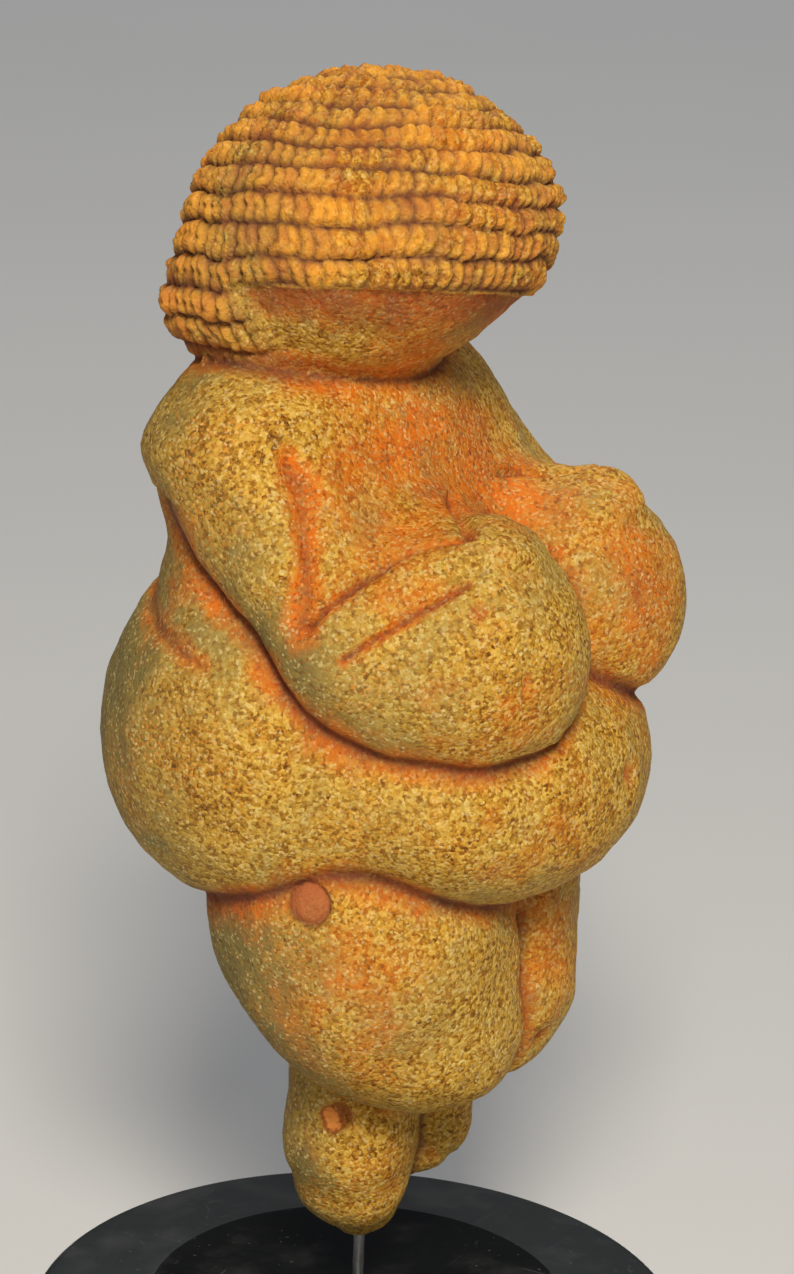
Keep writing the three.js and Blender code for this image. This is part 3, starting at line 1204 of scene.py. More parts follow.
@dataclass
class StoneFigure:
    """The carved figurine: one solid of stone with a hole for the pin in its tip.

    Args:
        shape: its masses.
        cap: the knots of its head.
        plug: the nodule on its thigh.
        grid: spacing of the rough mesh, in millimetres.
        socket_radius: radius of the drilled hole in the frame's solid.
        bore_radius: radius of the hole as it is shown.
        bore_depth: its depth.
        pin_depth: how deep the pin stands in the stone.
        tip_height: lowest point of the masses in the figure's own frame.
    """

    shape: FigureShape = FigureShape()
    cap: KnotRows = KnotRows()
    plug: Plug = Plug()
    grid: float = 0.82
    socket_radius: float = 0.8
    bore_radius: float = 0.58
    bore_depth: float = 11.1
    pin_depth: float = 11.0
    tip_height: float = 1.4

    def origin(self) -> np.ndarray:
        """Where the figure's own zero lies in the frame, in metres, found from the pin.

        Returns:
            Its place.
        """
        low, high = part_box(Node.PIN.value)
        tip = self.shape.right_calf.along[-1]
        foot_of_stone = high[2] - self.pin_depth * MM
        return np.array((
            (low[0] + high[0]) / 2 - tip[0] * MM,
            (low[1] + high[1]) / 2 - tip[1] * MM,
            foot_of_stone - self.tip_height * MM,
        ))

    def build(self) -> bpy.types.Object:
        """Makes the figurine's mesh.

        Returns:
            The finished object, still without its material.
        """
        origin = self.origin()
        piece = linked_object("figurine_stone", self._rough_block(origin))
        carving = Carving(self.shape, self.cap, self.plug)
        arrays = MeshArrays(piece.data, origin)
        arrays.settle(self.shape, 4)
        arrays.write()
        self._refine(piece.data, carving.detail_zone(arrays.points))
        arrays = MeshArrays(piece.data, origin)
        normals = arrays.settle(self.shape, 3)
        masks = carving.masks(arrays.points, normals)
        arrays.points += normals * carving.relief(arrays.points)[:, None]
        arrays.write()
        for mask, values in masks.items():
            layer = piece.data.attributes.new(mask.value, "FLOAT", "POINT")
            layer.data.foreach_set("value", np.clip(values, 0.0, 1.0).astype(np.float32))
        self._drill(piece, origin)
        return piece

    def _rough_block(self, origin: np.ndarray) -> bpy.types.Mesh:
        """The frame's solid as an even mesh, with its drilled hole closed.

        Args:
            origin: the figure's own zero, in metres.

        Returns:
            A closed mesh of small squares.
        """
        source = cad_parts[Node.FIGURINE.value].data
        block = bmesh.new()
        block.from_mesh(source)
        bmesh.ops.remove_doubles(block, verts=block.verts, dist=0.01 * MM)
        slack, over_hole = 0.05, 3.0
        tip = self.shape.right_calf.along[-1]
        axis = Vector((origin[0] + tip[0] * MM, origin[1] + tip[1] * MM))
        limit = (self.socket_radius + slack) * MM
        bore = [v for v in block.verts if (Vector(v.co[:2]) - axis).length < limit]
        low_enough = origin[2] + (self.bore_depth + over_hole) * MM
        bmesh.ops.delete(block, geom=[v for v in bore if v.co.z < low_enough], context="VERTS")
        rim = [edge for edge in block.edges if edge.is_boundary]
        bmesh.ops.holes_fill(block, edges=rim, sides=0)
        bmesh.ops.triangulate(block, faces=[face for face in block.faces if len(face.verts) > 4])
        piece = linked_object("figurine_block", filed(block, "figurine_block"))
        remesh = piece.modifiers.new("even_grid", "REMESH")
        remesh.mode = "VOXEL"
        remesh.voxel_size = self.grid * MM
        result = applied(piece).copy()
        rough = piece.data
        bpy.data.objects.remove(piece)
        bpy.data.meshes.remove(rough)
        return result

    def _refine(self, mesh: bpy.types.Mesh, zone: np.ndarray) -> None:
        """Cuts the mesh's squares in three where the carving is fine.

        Args:
            mesh: the mesh to change.
            zone: which of its vertices lie there.
        """
        block = bmesh.new()
        block.from_mesh(mesh)
        block.verts.ensure_lookup_table()
        chosen = [
            edge for edge in block.edges
            if zone[edge.verts[0].index] and zone[edge.verts[1].index]
        ]
        bmesh.ops.subdivide_edges(block, edges=chosen, cuts=2, use_grid_fill=True)
        block.to_mesh(mesh)
        block.free()

    def _drill(self, piece: bpy.types.Object, origin: np.ndarray) -> None:
        """Cuts the pin's hole into the tip of the legs.

        Args:
            piece: the carved stone.
            origin: the figure's own zero, in metres.
        """
        tip = self.shape.right_calf.along[-1]
        below_tip = 4.0
        depth = self.bore_depth + below_tip
        cutter = bmesh.new()
        middle = Vector((
            origin[0] + tip[0] * MM,
            origin[1] + tip[1] * MM,
            origin[2] + (self.tip_height + self.bore_depth - depth / 2) * MM,
        ))
        bmesh.ops.create_cone(
            cutter, cap_ends=True, cap_tris=False, segments=40,
            radius1=self.bore_radius * MM, radius2=self.bore_radius * MM,
            depth=depth * MM, matrix=Matrix.Translation(middle),
        )
        mesh = filed(cutter, "bore_cutter")
        tool = linked_object("bore_cutter", mesh)
        cut = piece.modifiers.new("bore", "BOOLEAN")
        cut.operation = "DIFFERENCE"
        cut.solver = "MANIFOLD"
        cut.object = tool
        applied(piece)
        bpy.data.objects.remove(tool)
        bpy.data.meshes.remove(mesh)

    def dress(self, piece: bpy.types.Object) -> None:
        dressed(piece, StoneFinish().material())
        declared(piece, Node.FIGURINE)


@dataclass
class PinRod:
    """The thin steel pin that holds the figurine up.

    Args:
        sides: number of flats round it.
        chamfer: size of the rounded edge at its ends.
    """

    sides: int = 48
    chamfer: float = 0.14

    def build(self) -> bpy.types.Object:
        """Makes the pin between the ends that the frame gives it.

        Returns:
            The pin, still without its material.
        """
        low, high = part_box(Node.PIN.value)
        radius = (high.x - low.x) / 2
        rod = bmesh.new()
        bmesh.ops.create_cone(
            rod, cap_ends=True, cap_tris=False, segments=self.sides, radius1=radius, radius2=radius,
            depth=high.z - low.z, matrix=Matrix.Translation((low + high) / 2),
        )
        ends = [edge for edge in rod.edges if abs(edge.verts[0].co.z - edge.verts[1].co.z) < 1e-6]
        bmesh.ops.bevel(
            rod, geom=ends, offset=self.chamfer * MM, affect="EDGES", segments=3, profile=0.5, material=-1,
        )
        return linked_object("pin_rod", filed(rod, "pin_rod"))

    def dress(self, piece: bpy.types.Object) -> None:
        """Args:
            piece: the pin.
        """
        dressed(piece, SteelFinish().material())
        piece.data.set_sharp_from_angle(angle=math.radians(50))
        declared(piece, Node.PIN)


@dataclass
class FootDisc:
    """The round polished foot with a sloping satin band round its flat middle.

    Args:
        bore: radius of the hole that grips the pin.
        band: width of the sloping band.
        rise: how much higher the middle is than the rim.
        edge: radius of the rounded edges.
        steps: number of steps round the disc.
    """

    bore: float = 0.52
    band: float = 11.0
    rise: float = 1.5
    edge: float = 0.45
    steps: int = 180

    def build(self) -> bpy.types.Object:
        """Turns the foot from its outline.

        Returns:
            The foot, still without its material.
        """
        low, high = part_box(Node.FOOT.value)
        pin_low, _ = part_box(Node.PIN.value)
        radius, top = (high.x - low.x) / 2, high.z
        middle = radius - self.band * MM
        under_pin = 0.02
        floor = pin_low.z - under_pin * MM
        bore = self.bore * MM
        beside = 2.0 * self.edge * MM
        rim = top - self.rise * MM

        def crown(reach: float) -> tuple[float, float]:
            """A point of the top at one distance from the axis."""
            return reach, top - (top - rim) * max(reach - middle, 0.0) / (radius - middle)

        outline = (
            (0.0, low.z), (radius - beside, low.z), (radius, low.z), (radius, low.z + beside),
            (radius, rim - beside), crown(radius), crown(radius - beside), crown(middle + beside),
            crown(middle), crown(middle - beside), crown(bore + beside), crown(bore),
            (bore, floor), (0.0, floor),
        )
        disc = bmesh.new()
        ring = [disc.verts.new((r, 0.0, z)) for r, z in outline]
        edges = [disc.edges.new(pair) for pair in zip(ring, ring[1:])]
        bmesh.ops.spin(
            disc, geom=ring + edges, axis=(0, 0, 1), cent=(0, 0, 0), dvec=(0, 0, 0),
            angle=2 * math.pi, steps=self.steps, use_merge=True, use_duplicate=False,
        )
        bmesh.ops.remove_doubles(disc, verts=disc.verts, dist=0.001 * MM)
        bmesh.ops.recalc_face_normals(disc, faces=disc.faces)
        for place, segments, offset in (
            ((radius, low.z), 5, self.edge), ((radius, rim), 5, self.edge),
            ((middle, top), 4, 0.5 * self.edge), ((bore, top), 2, 0.15 * self.edge),
        ):
            self._round(disc, place, segments, offset)
        return linked_object("foot_disc", filed(disc, "foot_disc"))

    def _round(
        self, disc: bmesh.types.BMesh, place: tuple[float, float], segments: int, offset: float,
    ) -> None:
        """Rounds one ring edge.

        Args:
            disc: the foot.
            place: the ring's distance from the axis and its height, in metres.
            segments: steps of the rounding.
            offset: its size in millimetres.
        """
        near = 0.002 * MM
        on_ring = {
            vert for vert in disc.verts
            if abs(math.hypot(*vert.co[:2]) - place[0]) < near and abs(vert.co.z - place[1]) < near
        }
        chosen = [edge for edge in disc.edges if on_ring.issuperset(edge.verts)]
        bmesh.ops.bevel(
            disc, geom=chosen, offset=offset * MM, affect="EDGES", segments=segments, profile=0.5,
            material=-1, clamp_overlap=True,
        )

    def dress(self, piece: bpy.types.Object) -> None:
        """Args:
            piece: the foot.
        """
        low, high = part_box(Node.FOOT.value)
        middle = (high.x - low.x) / 2 - self.band * MM
        dressed(piece, PolishFinish(middle).material())
        piece.data.set_sharp_from_angle(angle=math.radians(32))
        declared(piece, Node.FOOT)


class Value:
    """A number that changes over a surface; arithmetic on it adds Math nodes."""

    def __init__(self, board: "Board", socket: bpy.types.NodeSocket) -> None:
        """Keeps the board that nodes are added to and the output that carries the number."""
        self.board = board
        self.socket = socket

    def _math(self, operation: str, *terms: "Value | float", clamp: bool = False) -> "Value":
        """The result of one Math node.

        Args:
            operation: what it does.
            terms: its inputs in order.
            clamp: whether the result stays from 0 to 1.

        Returns:
            The result.
        """
        settings = {"operation": operation, "use_clamp": clamp}
        made = self.board.node("ShaderNodeMath", settings, dict(enumerate(terms)))
        return Value(self.board, made.outputs[0])

    def __add__(self, other: "Value | float") -> "Value":
        """The sum."""
        return self._math("ADD", self, other)

    def __radd__(self, other: float) -> "Value":
        """The sum with a plain number first."""
        return self._math("ADD", other, self)

    def __sub__(self, other: "Value | float") -> "Value":
        """The difference."""
        return self._math("SUBTRACT", self, other)

    def __rsub__(self, other: float) -> "Value":
        """The difference from a plain number."""
        return self._math("SUBTRACT", other, self)

    def __mul__(self, other: "Value | float") -> "Value":
        """The product."""
        return self._math("MULTIPLY", self, other)

    def __rmul__(self, other: float) -> "Value":
        """The product with a plain number first."""
        return self._math("MULTIPLY", other, self)

    def held(self) -> "Value":
        """The number kept between 0 and 1."""
        return self._math("ADD", self, 0.0, clamp=True)

    def step(self, low: float, high: float) -> "Value":
        """A smooth rise from 0 at low to 1 at high; it falls where low is the greater.

        Args:
            low: where it starts.
            high: where it ends.

        Returns:
            The risen number.
        """
        made = self.board.node(
            "ShaderNodeMapRange", {"interpolation_type": "SMOOTHSTEP"},
            {"Value": self, "From Min": low, "From Max": high, "To Min": 0.0, "To Max": 1.0},
        )
        return Value(self.board, made.outputs[0])


Paint = tuple[float, float, float]


def paint(red: int, green: int, blue: int) -> Paint:
    """A colour in linear light from its usual 0 to 255 screen numbers.

    Args:
        red: its red.
        green: its green.
        blue: its blue.

    Returns:
        The colour.
    """
    def linear(channel: float) -> float:
        """One channel in linear light."""
        return channel / 12.92 if channel <= 0.04045 else ((channel + 0.055) / 1.055) ** 2.4

    return tuple(linear(value / 255) for value in (red, green, blue))


class Board:
    """The nodes of one material."""

    def __init__(self, name: str) -> None:
        """Starts an empty material.

        Args:
            name: its name.
        """
        self.made = bpy.data.materials.new(name)
        self.made.use_nodes = True
        self.tree = self.made.node_tree
        self.tree.nodes.clear()
        self.place = self.node("ShaderNodeTexCoord").outputs["Object"]

    def node(
        self, kind: str, settings: dict[str, Any] | None = None,
        inputs: dict[str | int, Any] | None = None,
    ) -> bpy.types.Node:
        """Adds a node.

        Args:
            kind: its type.
            settings: its settings, which are set first; stops are a ramp's places and colours.
            inputs: values or links of its sockets.

        Returns:
            The node.
        """
        made = self.tree.nodes.new(kind)
        for name, value in (settings or {}).items():
            if name == "stops":
                self._set_stops(made.color_ramp, value)
            else:
                setattr(made, name, value)
        for name, value in (inputs or {}).items():
            socket = made.inputs[name]
            if isinstance(value, Value):
                self.tree.links.new(value.socket, socket)
            elif isinstance(value, bpy.types.NodeSocket):
                self.tree.links.new(value, socket)
            elif socket.type == "RGBA" and len(value) == 3:
                socket.default_value = (*value, 1.0)
            else:
                socket.default_value = value
        return made

    def _set_stops(self, ramp: bpy.types.ColorRamp, stops: Sequence[tuple[float, Paint]]) -> None:
        """Gives a ramp its places and colours.

        Args:
            ramp: the ramp.
            stops: its places and colours.
        """
        while len(ramp.elements) < len(stops):
            ramp.elements.new(1.0)
        for element, (place, colour) in zip(ramp.elements, stops):
            element.position = place
            element.color = (*colour, 1.0)

    def mask(self, mask: Mask) -> Value:
        """One of the measures that the carving left on the stone."""
        made = self.node("ShaderNodeAttribute", {"attribute_type": "GEOMETRY", "attribute_name": mask.value})
        return Value(self, made.outputs["Fac"])

    def moved(self, scale: Triple, shift: Triple = (0.0, 0.0, 0.0)) -> bpy.types.NodeSocket:
        """The place on the object, stretched by a scale and shifted."""
        made = self.node("ShaderNodeMapping", {}, {"Vector": self.place, "Scale": scale, "Location": shift})
        return made.outputs[0]

    def noise(
        self, scale: float, detail: float = 3.0, rough: float = 0.5, twist: float = 0.0,
        place: bpy.types.NodeSocket | None = None,
    ) -> Value:
        """Cloudy noise around 0.5.

        Args:
            scale: lumps to the metre.
            detail: number of finer layers.
            rough: strength of those.
            twist: how much it is warped.
            place: where it is read, if not at the object's own place.

        Returns:
            The noise.
        """
        made = self.node("ShaderNodeTexNoise", {"noise_dimensions": "3D"}, {
            "Vector": place or self.place, "Scale": scale, "Detail": detail, "Roughness": rough,
            "Distortion": twist,
        })
        return Value(self, made.outputs[0])

    def grains(self, scale: float, shift: Triple = (0.0, 0.0, 0.0)) -> tuple[Value, Value]:
        """Grains packed side by side.

        Args:
            scale: grains to the metre.
            shift: moves the pattern.

        Returns:
            A random number for each grain, and the distance from its middle.
        """
        place = self.moved((1.0, 1.0, 1.0), shift)
        made = self.node(
            "ShaderNodeTexVoronoi", {"voronoi_dimensions": "3D", "feature": "F1"},
            {"Vector": place, "Scale": scale, "Randomness": 1.0},
        )
        parts = self.node("ShaderNodeSeparateColor", {}, {"Color": made.outputs["Color"]})
        return Value(self, parts.outputs[0]), Value(self, made.outputs["Distance"])

    def ramp(self, value: Value, stops: Sequence[tuple[float, Paint]]) -> bpy.types.NodeSocket:
        """A colour picked by a number."""
        return self.node("ShaderNodeValToRGB", {"stops": stops}, {"Fac": value}).outputs[0]

    def mixed(self, share: Value, under: Any, over: Any) -> bpy.types.NodeSocket:
        """Two colours mixed.

        Args:
            share: how much of the second shows.
            under: first colour.
            over: second colour.

        Returns:
            The mixed colour.
        """
        settings = {"data_type": "RGBA", "blend_type": "MIX", "clamp_factor": True}
        return self.node("ShaderNodeMix", settings, {0: share, 6: under, 7: over}).outputs[2]

    def bump(self, height: Value, distance: float, strength: float) -> bpy.types.NodeSocket:
        """A surface raised by a height.

        Args:
            height: from 0 to 1.
            distance: what 1 stands for, in millimetres.
            strength: share of it that shows.

        Returns:
            The changed normal.
        """
        made = self.node(
            "ShaderNodeBump", {}, {"Height": height, "Distance": distance * MM, "Strength": strength},
        )
        return made.outputs[0]

    def finish(self, inputs: dict[str, Any]) -> bpy.types.Material:
        """Joins everything to the shader.

        Args:
            inputs: values or links of the shader's sockets.

        Returns:
            The finished material.
        """
        shader = self.node("ShaderNodeBsdfPrincipled", {}, inputs)
        out = self.node("ShaderNodeOutputMaterial", {}, {"Surface": shader.outputs[0]})
        out.is_active_output = True
        return self.made


@dataclass(frozen=True)
class StoneMarks:
    """Patterns that the colours of the stone and its fine relief share.

    Args:
        tone: a random number for each grain.
        middle: distance from the middle of the grain.
        fine_tone: a random number for each smaller grain.
        fine_middle: distance from the middle of that grain.
        clump: clumps of grains.
        mottle: cloudy spots.
        patch: large patches.
        crevice_shade: how much painted shade a place gets in a line, a pit, between knots or under the cap's
            rim.
    """

    tone: Value
    middle: Value
    fine_tone: Value
    fine_middle: Value
    clump: Value
    mottle: Value
    patch: Value
    crevice_shade: Value


@dataclass(frozen=True)
class StoneFinish:
    """Yellow grainy limestone with red ochre rubbed into its hollows; patterns are counted to the metre.

    Args:
        grain: grains.
        fine_grain: smaller grains.
        specks: grains among which the dark specks are.
        glints: grains among which the bright ones are.
        clumps: clumps of grains.
        stains: stains between the knots.
        rusting: spots of the darker ochre.
        spread: uneven edges of the ochre.
        mottle: cloudy spots.
        freckles: freckles of ochre.
        drift: slow changes of the ochre.
        patch: large patches.
        bands: the stone's colours from its darkest grains to its palest.
        ochre: colour of the red earth.
        rust: colour of the darker red earth.
        seam: colour of the painted shade in the lines, pits and between the knots.
        plum: colour of the dark stains between the knots.
        patina_and_shade: colour of the greyer patches, and of the painted shade on the side turned from the
            light and on faces turned down.
        nodule: colour of the round nodule.
        fresh_lit_facet: colour of the newer break, with painted light, on its shallow facet.
        gilt_and_highlight: colour of the knot tops, partly wear and partly painted highlight.
        speck: colour of the dark specks.
        glint: colour of the bright grains.
    """

    grain: float = 2900.0
    fine_grain: float = 5000.0
    specks: float = 3190.0
    glints: float = 4060.0
    clumps: float = 1300.0
    stains: float = 460.0
    rusting: float = 330.0
    spread: float = 230.0
    mottle: float = 170.0
    freckles: float = 95.0
    drift: float = 80.0
    patch: float = 42.0
    bands: tuple[tuple[float, Paint], ...] = (
        (0.0, (0.09, 0.028, 0.006)), (0.25, (0.34, 0.145, 0.014)), (0.5, (0.61, 0.335, 0.040)),
        (0.75, (0.78, 0.52, 0.11)), (1.0, (0.95, 0.83, 0.36)),
    )
    ochre: Paint = (0.80, 0.185, 0.012)
    rust: Paint = (0.36, 0.080, 0.026)
    seam: Paint = (0.11, 0.034, 0.028)
    plum: Paint = (0.32, 0.095, 0.055)
    patina_and_shade: Paint = (0.25, 0.190, 0.060)
    nodule: Paint = (0.44, 0.130, 0.050)
    fresh_lit_facet: Paint = (0.96, 0.37, 0.08)
    gilt_and_highlight: Paint = (1.0, 0.42, 0.040)
    speck: Paint = paint(118, 60, 26)
    glint: Paint = (0.86, 0.68, 0.30)

    def material(self) -> bpy.types.Material:
        """Builds the stone.

        Returns:
            The material.
        """
        board = Board("yellow_limestone")
        marks = StoneMarks(
            *board.grains(self.grain), *board.grains(self.fine_grain, (0.31, 0.17, 0.05)),
            board.noise(self.clumps, 3.0, 0.6), board.noise(self.mottle, 4.0, 0.6),
            board.noise(self.patch, 3.0, 0.55, 0.4), board.mask(Mask.CREVICE_SHADE),
        )
        stone = self._limestone(board, marks)
        stone = self._ochred(board, marks, stone)
        stone = self._speckled(board, marks, stone)
        stone = self._cap_wear_and_light(board, marks, stone)
        stone = self._broken(board, marks, stone)
        grains = 0.5 * (1.0 - marks.middle) + 0.25 * (1.0 - marks.fine_middle)
        return board.finish({
            "Base Color": stone,
            "Roughness": (0.52 + 0.25 * marks.tone + 0.15 * marks.crevice_shade).held(),
            "Normal": board.bump(grains + 0.9 * marks.clump + 0.6 * marks.mottle, 0.20, 0.85),
            "Specular IOR Level": 0.1,
        })

    def _limestone(self, board: Board, marks: StoneMarks) -> bpy.types.NodeSocket:
        """The bare stone with its greyer patches and painted shade on the side turned from the light and on
        faces turned down.

        Args:
            board: the nodes of the stone.
            marks: the shared patterns.

        Returns:
            Its colour.
        """
        blend = 0.50 * marks.tone + 0.26 * marks.fine_tone + 0.7 * (marks.clump - 0.5)
        blend = blend + 0.5 * (marks.mottle - 0.5) + 0.25 * (marks.patch - 0.5) + 0.12
        stone = board.ramp(blend.held(), self.bands)
        cloudy = (marks.patch * 0.5 + marks.mottle * 0.5) * 0.8 + marks.clump * 0.2
        # painted shade on the side turned from the light and on faces turned down, broken up by the clouds
        side_shade_share = board.mask(Mask.PAINTED_SIDE_SHADE) * cloudy.step(0.20, 0.62) * 0.75
        return board.mixed((cloudy.step(0.46, 0.60) * 0.46 + side_shade_share).held(), stone, self.patina_and_shade)

    def _ochred(
        self, board: Board, marks: StoneMarks, stone: bpy.types.NodeSocket,
    ) -> bpy.types.NodeSocket:
        """The stone with red ochre in its hollows and in freckles.

        Args:
            board: the nodes of the stone.
            marks: the shared patterns.
            stone: the colour so far.

        Returns:
            The new colour.
        """
        spread = board.noise(self.spread, 4.0, 0.65) + 0.7 * (board.noise(self.drift, 2.0) - 0.5)
        red = (board.mask(Mask.OCHRE) * 1.6 + (spread - 0.5) * 2.4 - 0.40).held()
        rusty = board.noise(self.rusting, 4.0, 0.65) * 0.62 + marks.clump * 0.20 + marks.fine_tone * 0.18
        earth = board.mixed(rusty.step(0.45, 0.60) * 0.78, self.ochre, self.rust)
        stone = board.mixed(red * (1.0 - 0.42 * marks.tone), stone, earth)
        freckle = board.noise(self.freckles, 3.0, 0.6) * 0.6 + marks.fine_tone * 0.4
        return board.mixed(freckle.step(0.60, 0.78) * 0.42, stone, self.ochre)

    def _speckled(
        self, board: Board, marks: StoneMarks, stone: bpy.types.NodeSocket,
    ) -> bpy.types.NodeSocket:
        """The stone with painted shade in its lines and hollows, dark specks and bright grains.

        Args:
            board: the nodes of the stone.
            marks: the shared patterns.
            stone: the colour so far.

        Returns:
            The new colour.
        """
        # painted shade in the lines and hollows, in the seam colour
        dark = (marks.crevice_shade * 1.35 + (marks.mottle - 0.5) * 0.8 - 0.32).held() * 0.85
        stone = board.mixed(dark, stone, self.seam)
        speck = board.grains(self.specks, (0.11, 0.43, 0.27))[0].step(0.90, 0.96)
        stone = board.mixed(speck * 0.5, stone, self.speck)
        bright = board.grains(self.glints, (0.77, 0.13, 0.37))[0].step(0.86, 0.95)
        return board.mixed(bright * (1.0 - marks.crevice_shade).held() * 0.45, stone, self.glint)

    def _cap_wear_and_light(
        self, board: Board, marks: StoneMarks, stone: bpy.types.NodeSocket,
    ) -> bpy.types.NodeSocket:
        """The stone with knot tops on the head lighter in patches, partly wear and partly painted highlight,
        dark stains, and painted shade between the knots.

        Args:
            board: the nodes of the stone.
            marks: the shared patterns.
            stone: the colour so far.

        Returns:
            The new colour.
        """
        cap = board.mask(Mask.CAP)
        # knot tops lighter in patches: partly wear, partly painted highlight
        rubbed = cap * (1.0 - marks.crevice_shade).held() * marks.mottle.step(0.34, 0.58) * 0.66
        stone = board.mixed(rubbed, stone, self.gilt_and_highlight)
        stain = board.noise(self.stains, 3.0, 0.6).step(0.42, 0.68) * cap
        stone = board.mixed(stain * 0.36, stone, self.plum)
        # painted shade between the knots
        return board.mixed(cap * marks.crevice_shade.step(0.40, 0.95) * 0.62, stone, self.seam)

    def _broken(
        self, board: Board, marks: StoneMarks, stone: bpy.types.NodeSocket,
    ) -> bpy.types.NodeSocket:
        """The stone with the newer break on the calf, painted light on its shallow facet and painted shade
        towards its deep end, and the round nodule in the thigh.

        Args:
            board: the nodes of the stone.
            marks: the shared patterns.
            stone: the colour so far.

        Returns:
            The new colour.
        """
        chip = board.mask(Mask.CHIP) + (marks.clump - 0.5) * 0.9 + (marks.tone - 0.5) * 0.3
        # the break in red earth, its shallow facet painted light in the fresh colour, so its deep end is
        # left as painted shade
        stone = board.mixed(chip.step(0.15, 0.4) * 0.80, stone, self.rust)
        stone = board.mixed(chip.step(0.6, 1.0) * 0.80, stone, self.fresh_lit_facet)
        return board.mixed(board.mask(Mask.PLUG) * 0.85, stone, self.nodule)


@dataclass(frozen=True)
class SteelFinish:
    """Drawn steel wire with fine lines along it.

    Args:
        steel: its colour.
        dull: colour of its duller spots.
        lines: lines to the metre round the wire.
        drawn: how much sparser they are along the wire.
        spots: duller spots to the metre.
    """

    steel: Paint = paint(196, 197, 198)
    dull: Paint = paint(140, 132, 120)
    lines: float = 9000.0
    drawn: float = 0.02
    spots: float = 600.0

    def material(self) -> bpy.types.Material:
        """Builds the steel.

        Returns:
            The material.
        """
        board = Board("drawn_steel")
        along_wire = board.moved((self.lines, self.lines, self.lines * self.drawn))
        lines = board.noise(1.0, 2.0, 0.6, 0.0, along_wire)
        dull = board.noise(self.spots, 3.0, 0.6)
        colour = board.mixed(dull.step(0.45, 0.7) * 0.35, self.steel, self.dull)
        return board.finish({
            "Base Color": colour,
            "Metallic": 1.0,
            "Roughness": (0.22 + 0.22 * lines + 0.12 * dull).held(),
            "Normal": board.bump(lines, 0.01, 0.5),
        })


@dataclass(frozen=True)
class PolishFinish:
    """Black polished acrylic with a satin band, a little dust and hair scratches.

    Args:
        middle: radius of the flat polished middle, in metres.
        body: its colour.
        satin: colour of the satin band.
        dust: colour of the dust.
        motes: specks of dust to the metre.
        drifts: places to the metre where the specks gather.
        wipes: wiped patches to the metre.
        hairs: for each direction of the hair scratches, how many go to the metre along X, Y and Z,
            and how dense the pattern is where one starts.
    """

    middle: float
    body: Paint = (0.006, 0.0065, 0.007)
    satin: Paint = (0.014, 0.016, 0.017)
    dust: Paint = (0.33, 0.32, 0.30)
    motes: float = 4200.0
    drifts: float = 60.0
    wipes: float = 140.0
    hairs: tuple[tuple[Triple, float], ...] = (((2600.0, 60.0, 60.0), 0.70), ((90.0, 2400.0, 60.0), 0.71))

    def material(self) -> bpy.types.Material:
        """Builds the polish.

        Returns:
            The material.
        """
        board = Board("polished_black")
        level = board.moved((1.0, 1.0, 0.0))
        from_axis = board.node("ShaderNodeVectorMath", {"operation": "LENGTH"}, {0: level})
        reach = Value(board, from_axis.outputs["Value"])
        band = reach.step(self.middle - 0.1 * MM, self.middle + 0.1 * MM)
        cloud = board.noise(self.wipes, 4.0, 0.6)
        gathered = board.noise(self.drifts).step(0.45, 0.65)
        specks = board.grains(self.motes)[0].step(0.985, 0.995) * gathered
        hairs_across, hairs_along = (
            board.noise(1.0, 1.0, 0.4, 0.0, board.moved(scale)).step(start, 0.76)
            for scale, start in self.hairs
        )
        scratches = (hairs_across + hairs_along).held() * cloud.step(0.40, 0.65)
        colour = board.mixed(band, self.body, self.satin)
        colour = board.mixed(specks * 0.12, colour, self.dust)
        colour = board.mixed(cloud.step(0.45, 0.80) * 0.06, colour, self.dust)
        rough = 0.07 + 0.27 * band + 0.10 * cloud.step(0.4, 0.8) + 0.25 * scratches + 0.05 * specks
        return board.finish({
            "Base Color": colour,
            "Roughness": rough.held(),
            "Normal": board.bump(cloud + scratches * -0.4, 0.012, 0.25),
            "Specular IOR Level": 0.3,
        })


@dataclass(frozen=True)
class SoftLight:
    """One square soft light that looks at the figurine.

    Args:
        name: its name.
        azimuth: where it hangs, counted as the camera's views are.
        rise: its height over the horizon in degrees.
        away: its distance in metres.
        size: its side in metres.
        power: its power in watts.
        colour: its colour.
    """

    name: str
    azimuth: float
    rise: float
    away: float
    size: float
    power: float
    colour: Paint

    def hang(self, aim: Triple) -> None:
        """Makes the light and turns it to a point.

        Args:
            aim: the point that it looks at.
        """
        turn, rise = math.radians(self.azimuth), math.radians(self.rise)
        outward = Vector((
            math.sin(turn) * math.cos(rise), -math.cos(turn) * math.cos(rise), math.sin(rise),
        ))
        data = bpy.data.lights.new(self.name, "AREA")
        data.shape, data.size = "SQUARE", self.size
        data.energy, data.color = self.power, self.colour
        lamp = bpy.data.objects.new(self.name, data)
        lamp.location = Vector(aim) + outward * self.away
        lamp.rotation_euler = outward.to_track_quat("Z", "Y").to_euler()
        bpy.context.scene.collection.objects.link(lamp)


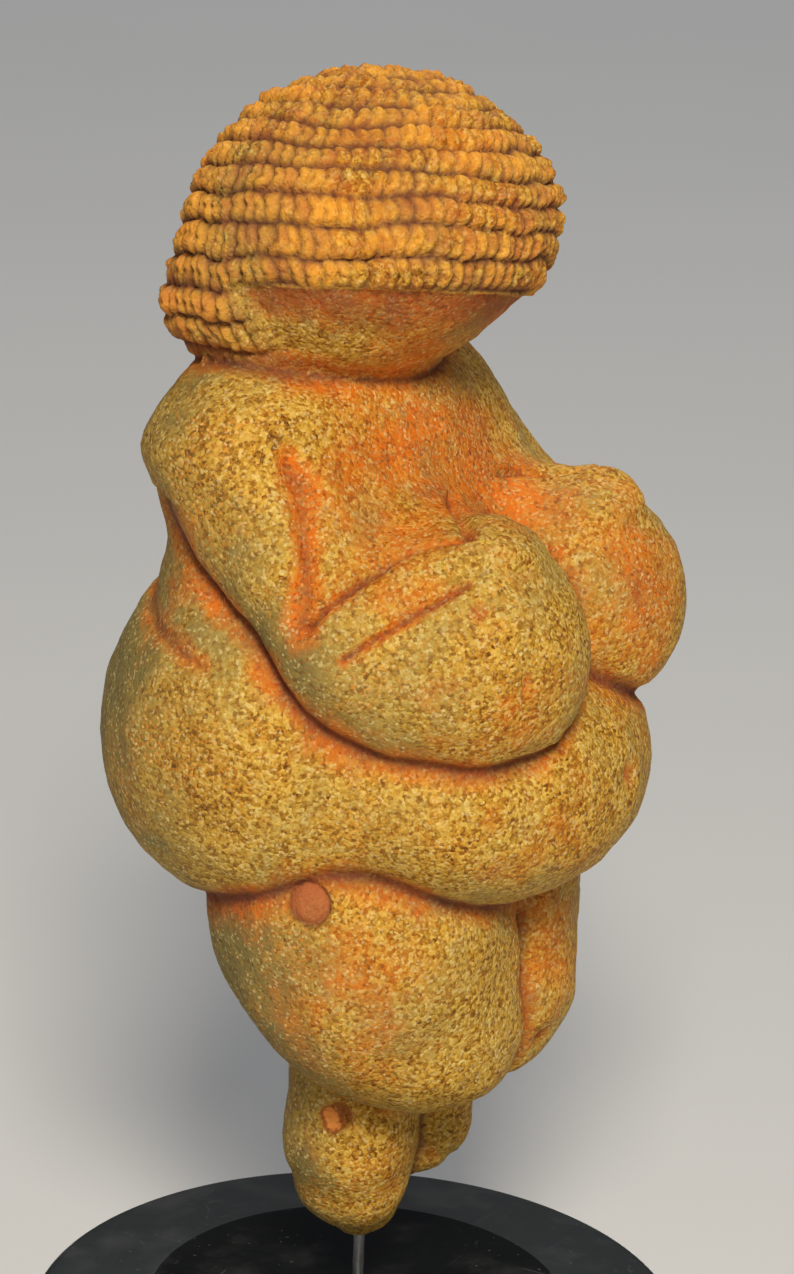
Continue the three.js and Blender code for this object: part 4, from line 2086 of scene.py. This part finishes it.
@dataclass
class Studio:
    """A plain pale floor and soft lights.

    Args:
        floor: side of the floor in metres.
        pale: darkest and palest colour of the floor.
        aim: the point that the lights look at.
        sky: colour of the sky.
        sky_strength: how bright it is.
        lights: the soft lights.
    """

    floor: float = 12.0
    pale: tuple[Paint, Paint] = ((0.68, 0.677, 0.67), (0.72, 0.717, 0.71))
    aim: Triple = (0.0, 0.0, 0.075)
    sky: Paint = (0.90, 0.93, 1.0)
    sky_strength: float = 0.05
    lights: tuple[SoftLight, ...] = (
        SoftLight("key_light", -59.0, 41.0, 0.9, 0.24, 8.0, (1.0, 0.93, 0.80)),
        SoftLight("fill_light", -120.0, 25.0, 1.0, 0.60, 0.1, (0.88, 0.94, 1.0)),
        SoftLight("rim_light", 60.0, 30.0, 0.9, 0.25, 0.3, (0.86, 0.93, 1.0)),
        SoftLight("floor_light", 118.0, 50.0, 3.4, 1.8, 38.0, (0.95, 0.97, 1.0)),
    )

    def build(self) -> None:
        """Sets up the floor, the lights and the sky."""
        self._floor()
        for light in self.lights:
            light.hang(self.aim)
        world = bpy.data.worlds.new("pale_sky")
        world.use_nodes = True
        sky = world.node_tree.nodes["Background"]
        sky.inputs["Color"].default_value = (*self.sky, 1.0)
        sky.inputs["Strength"].default_value = self.sky_strength
        bpy.context.scene.world = world
        bpy.context.scene.view_settings.view_transform = "Standard"

    def _floor(self) -> None:
        """Lays the floor."""
        sheet = bmesh.new()
        bmesh.ops.create_grid(sheet, x_segments=1, y_segments=1, size=self.floor / 2)
        floor = linked_object("floor", filed(sheet, "floor"))
        board = Board("pale_floor")
        cloud = board.noise(6.0, 2.0)
        colour = board.mixed(cloud, *self.pale)
        floor.data.materials.append(board.finish({"Base Color": colour, "Roughness": 0.75}))


@dataclass(frozen=True)
class PhotoCamera:
    """The camera at the photograph's place.

    Args:
        place: where it stands.
        aim: the point in the middle of the picture.
        lens: focal length in millimetres, with the sensor along the picture's long side.
        sensor: the sensor's long side in millimetres.
        roll: its turn about its own axis in degrees.
        clip: nearest and farthest distance that it sees.
    """

    place: Triple = (-0.28160, -0.14963, 0.17487)
    aim: Triple = (0.004288, 0.000674, 0.073026)
    lens: float = 106.29
    sensor: float = 36.0
    roll: float = 2.186
    clip: tuple[float, float] = (0.01, 50.0)

    def build(self) -> None:
        """Makes the camera and gives it to the scene."""
        data = bpy.data.cameras.new("photo_camera")
        data.lens, data.sensor_width, data.sensor_fit = self.lens, self.sensor, "AUTO"
        data.clip_start, data.clip_end = self.clip
        camera = bpy.data.objects.new("photo_camera", data)
        back = Vector(self.place) - Vector(self.aim)
        roll = Matrix.Rotation(math.radians(self.roll), 3, "Z")
        camera.location = self.place
        camera.rotation_euler = (back.to_track_quat("Z", "Y").to_matrix() @ roll).to_euler()
        bpy.context.scene.collection.objects.link(camera)
        bpy.context.scene.camera = camera


def main() -> None:
    """Builds the figurine, its pin and foot, the studio and the camera."""
    logging.basicConfig(level=logging.INFO, format="%(message)s")
    for part in (StoneFigure(), PinRod(), FootDisc()):
        piece = part.build()
        part.dress(piece)
        triangles = sum(len(face.vertices) - 2 for face in piece.data.polygons)
        LOG.info("%s: %d triangles", piece.name, triangles)
    Studio().build()
    PhotoCamera().build()


if __name__ == "__main__":
    main()
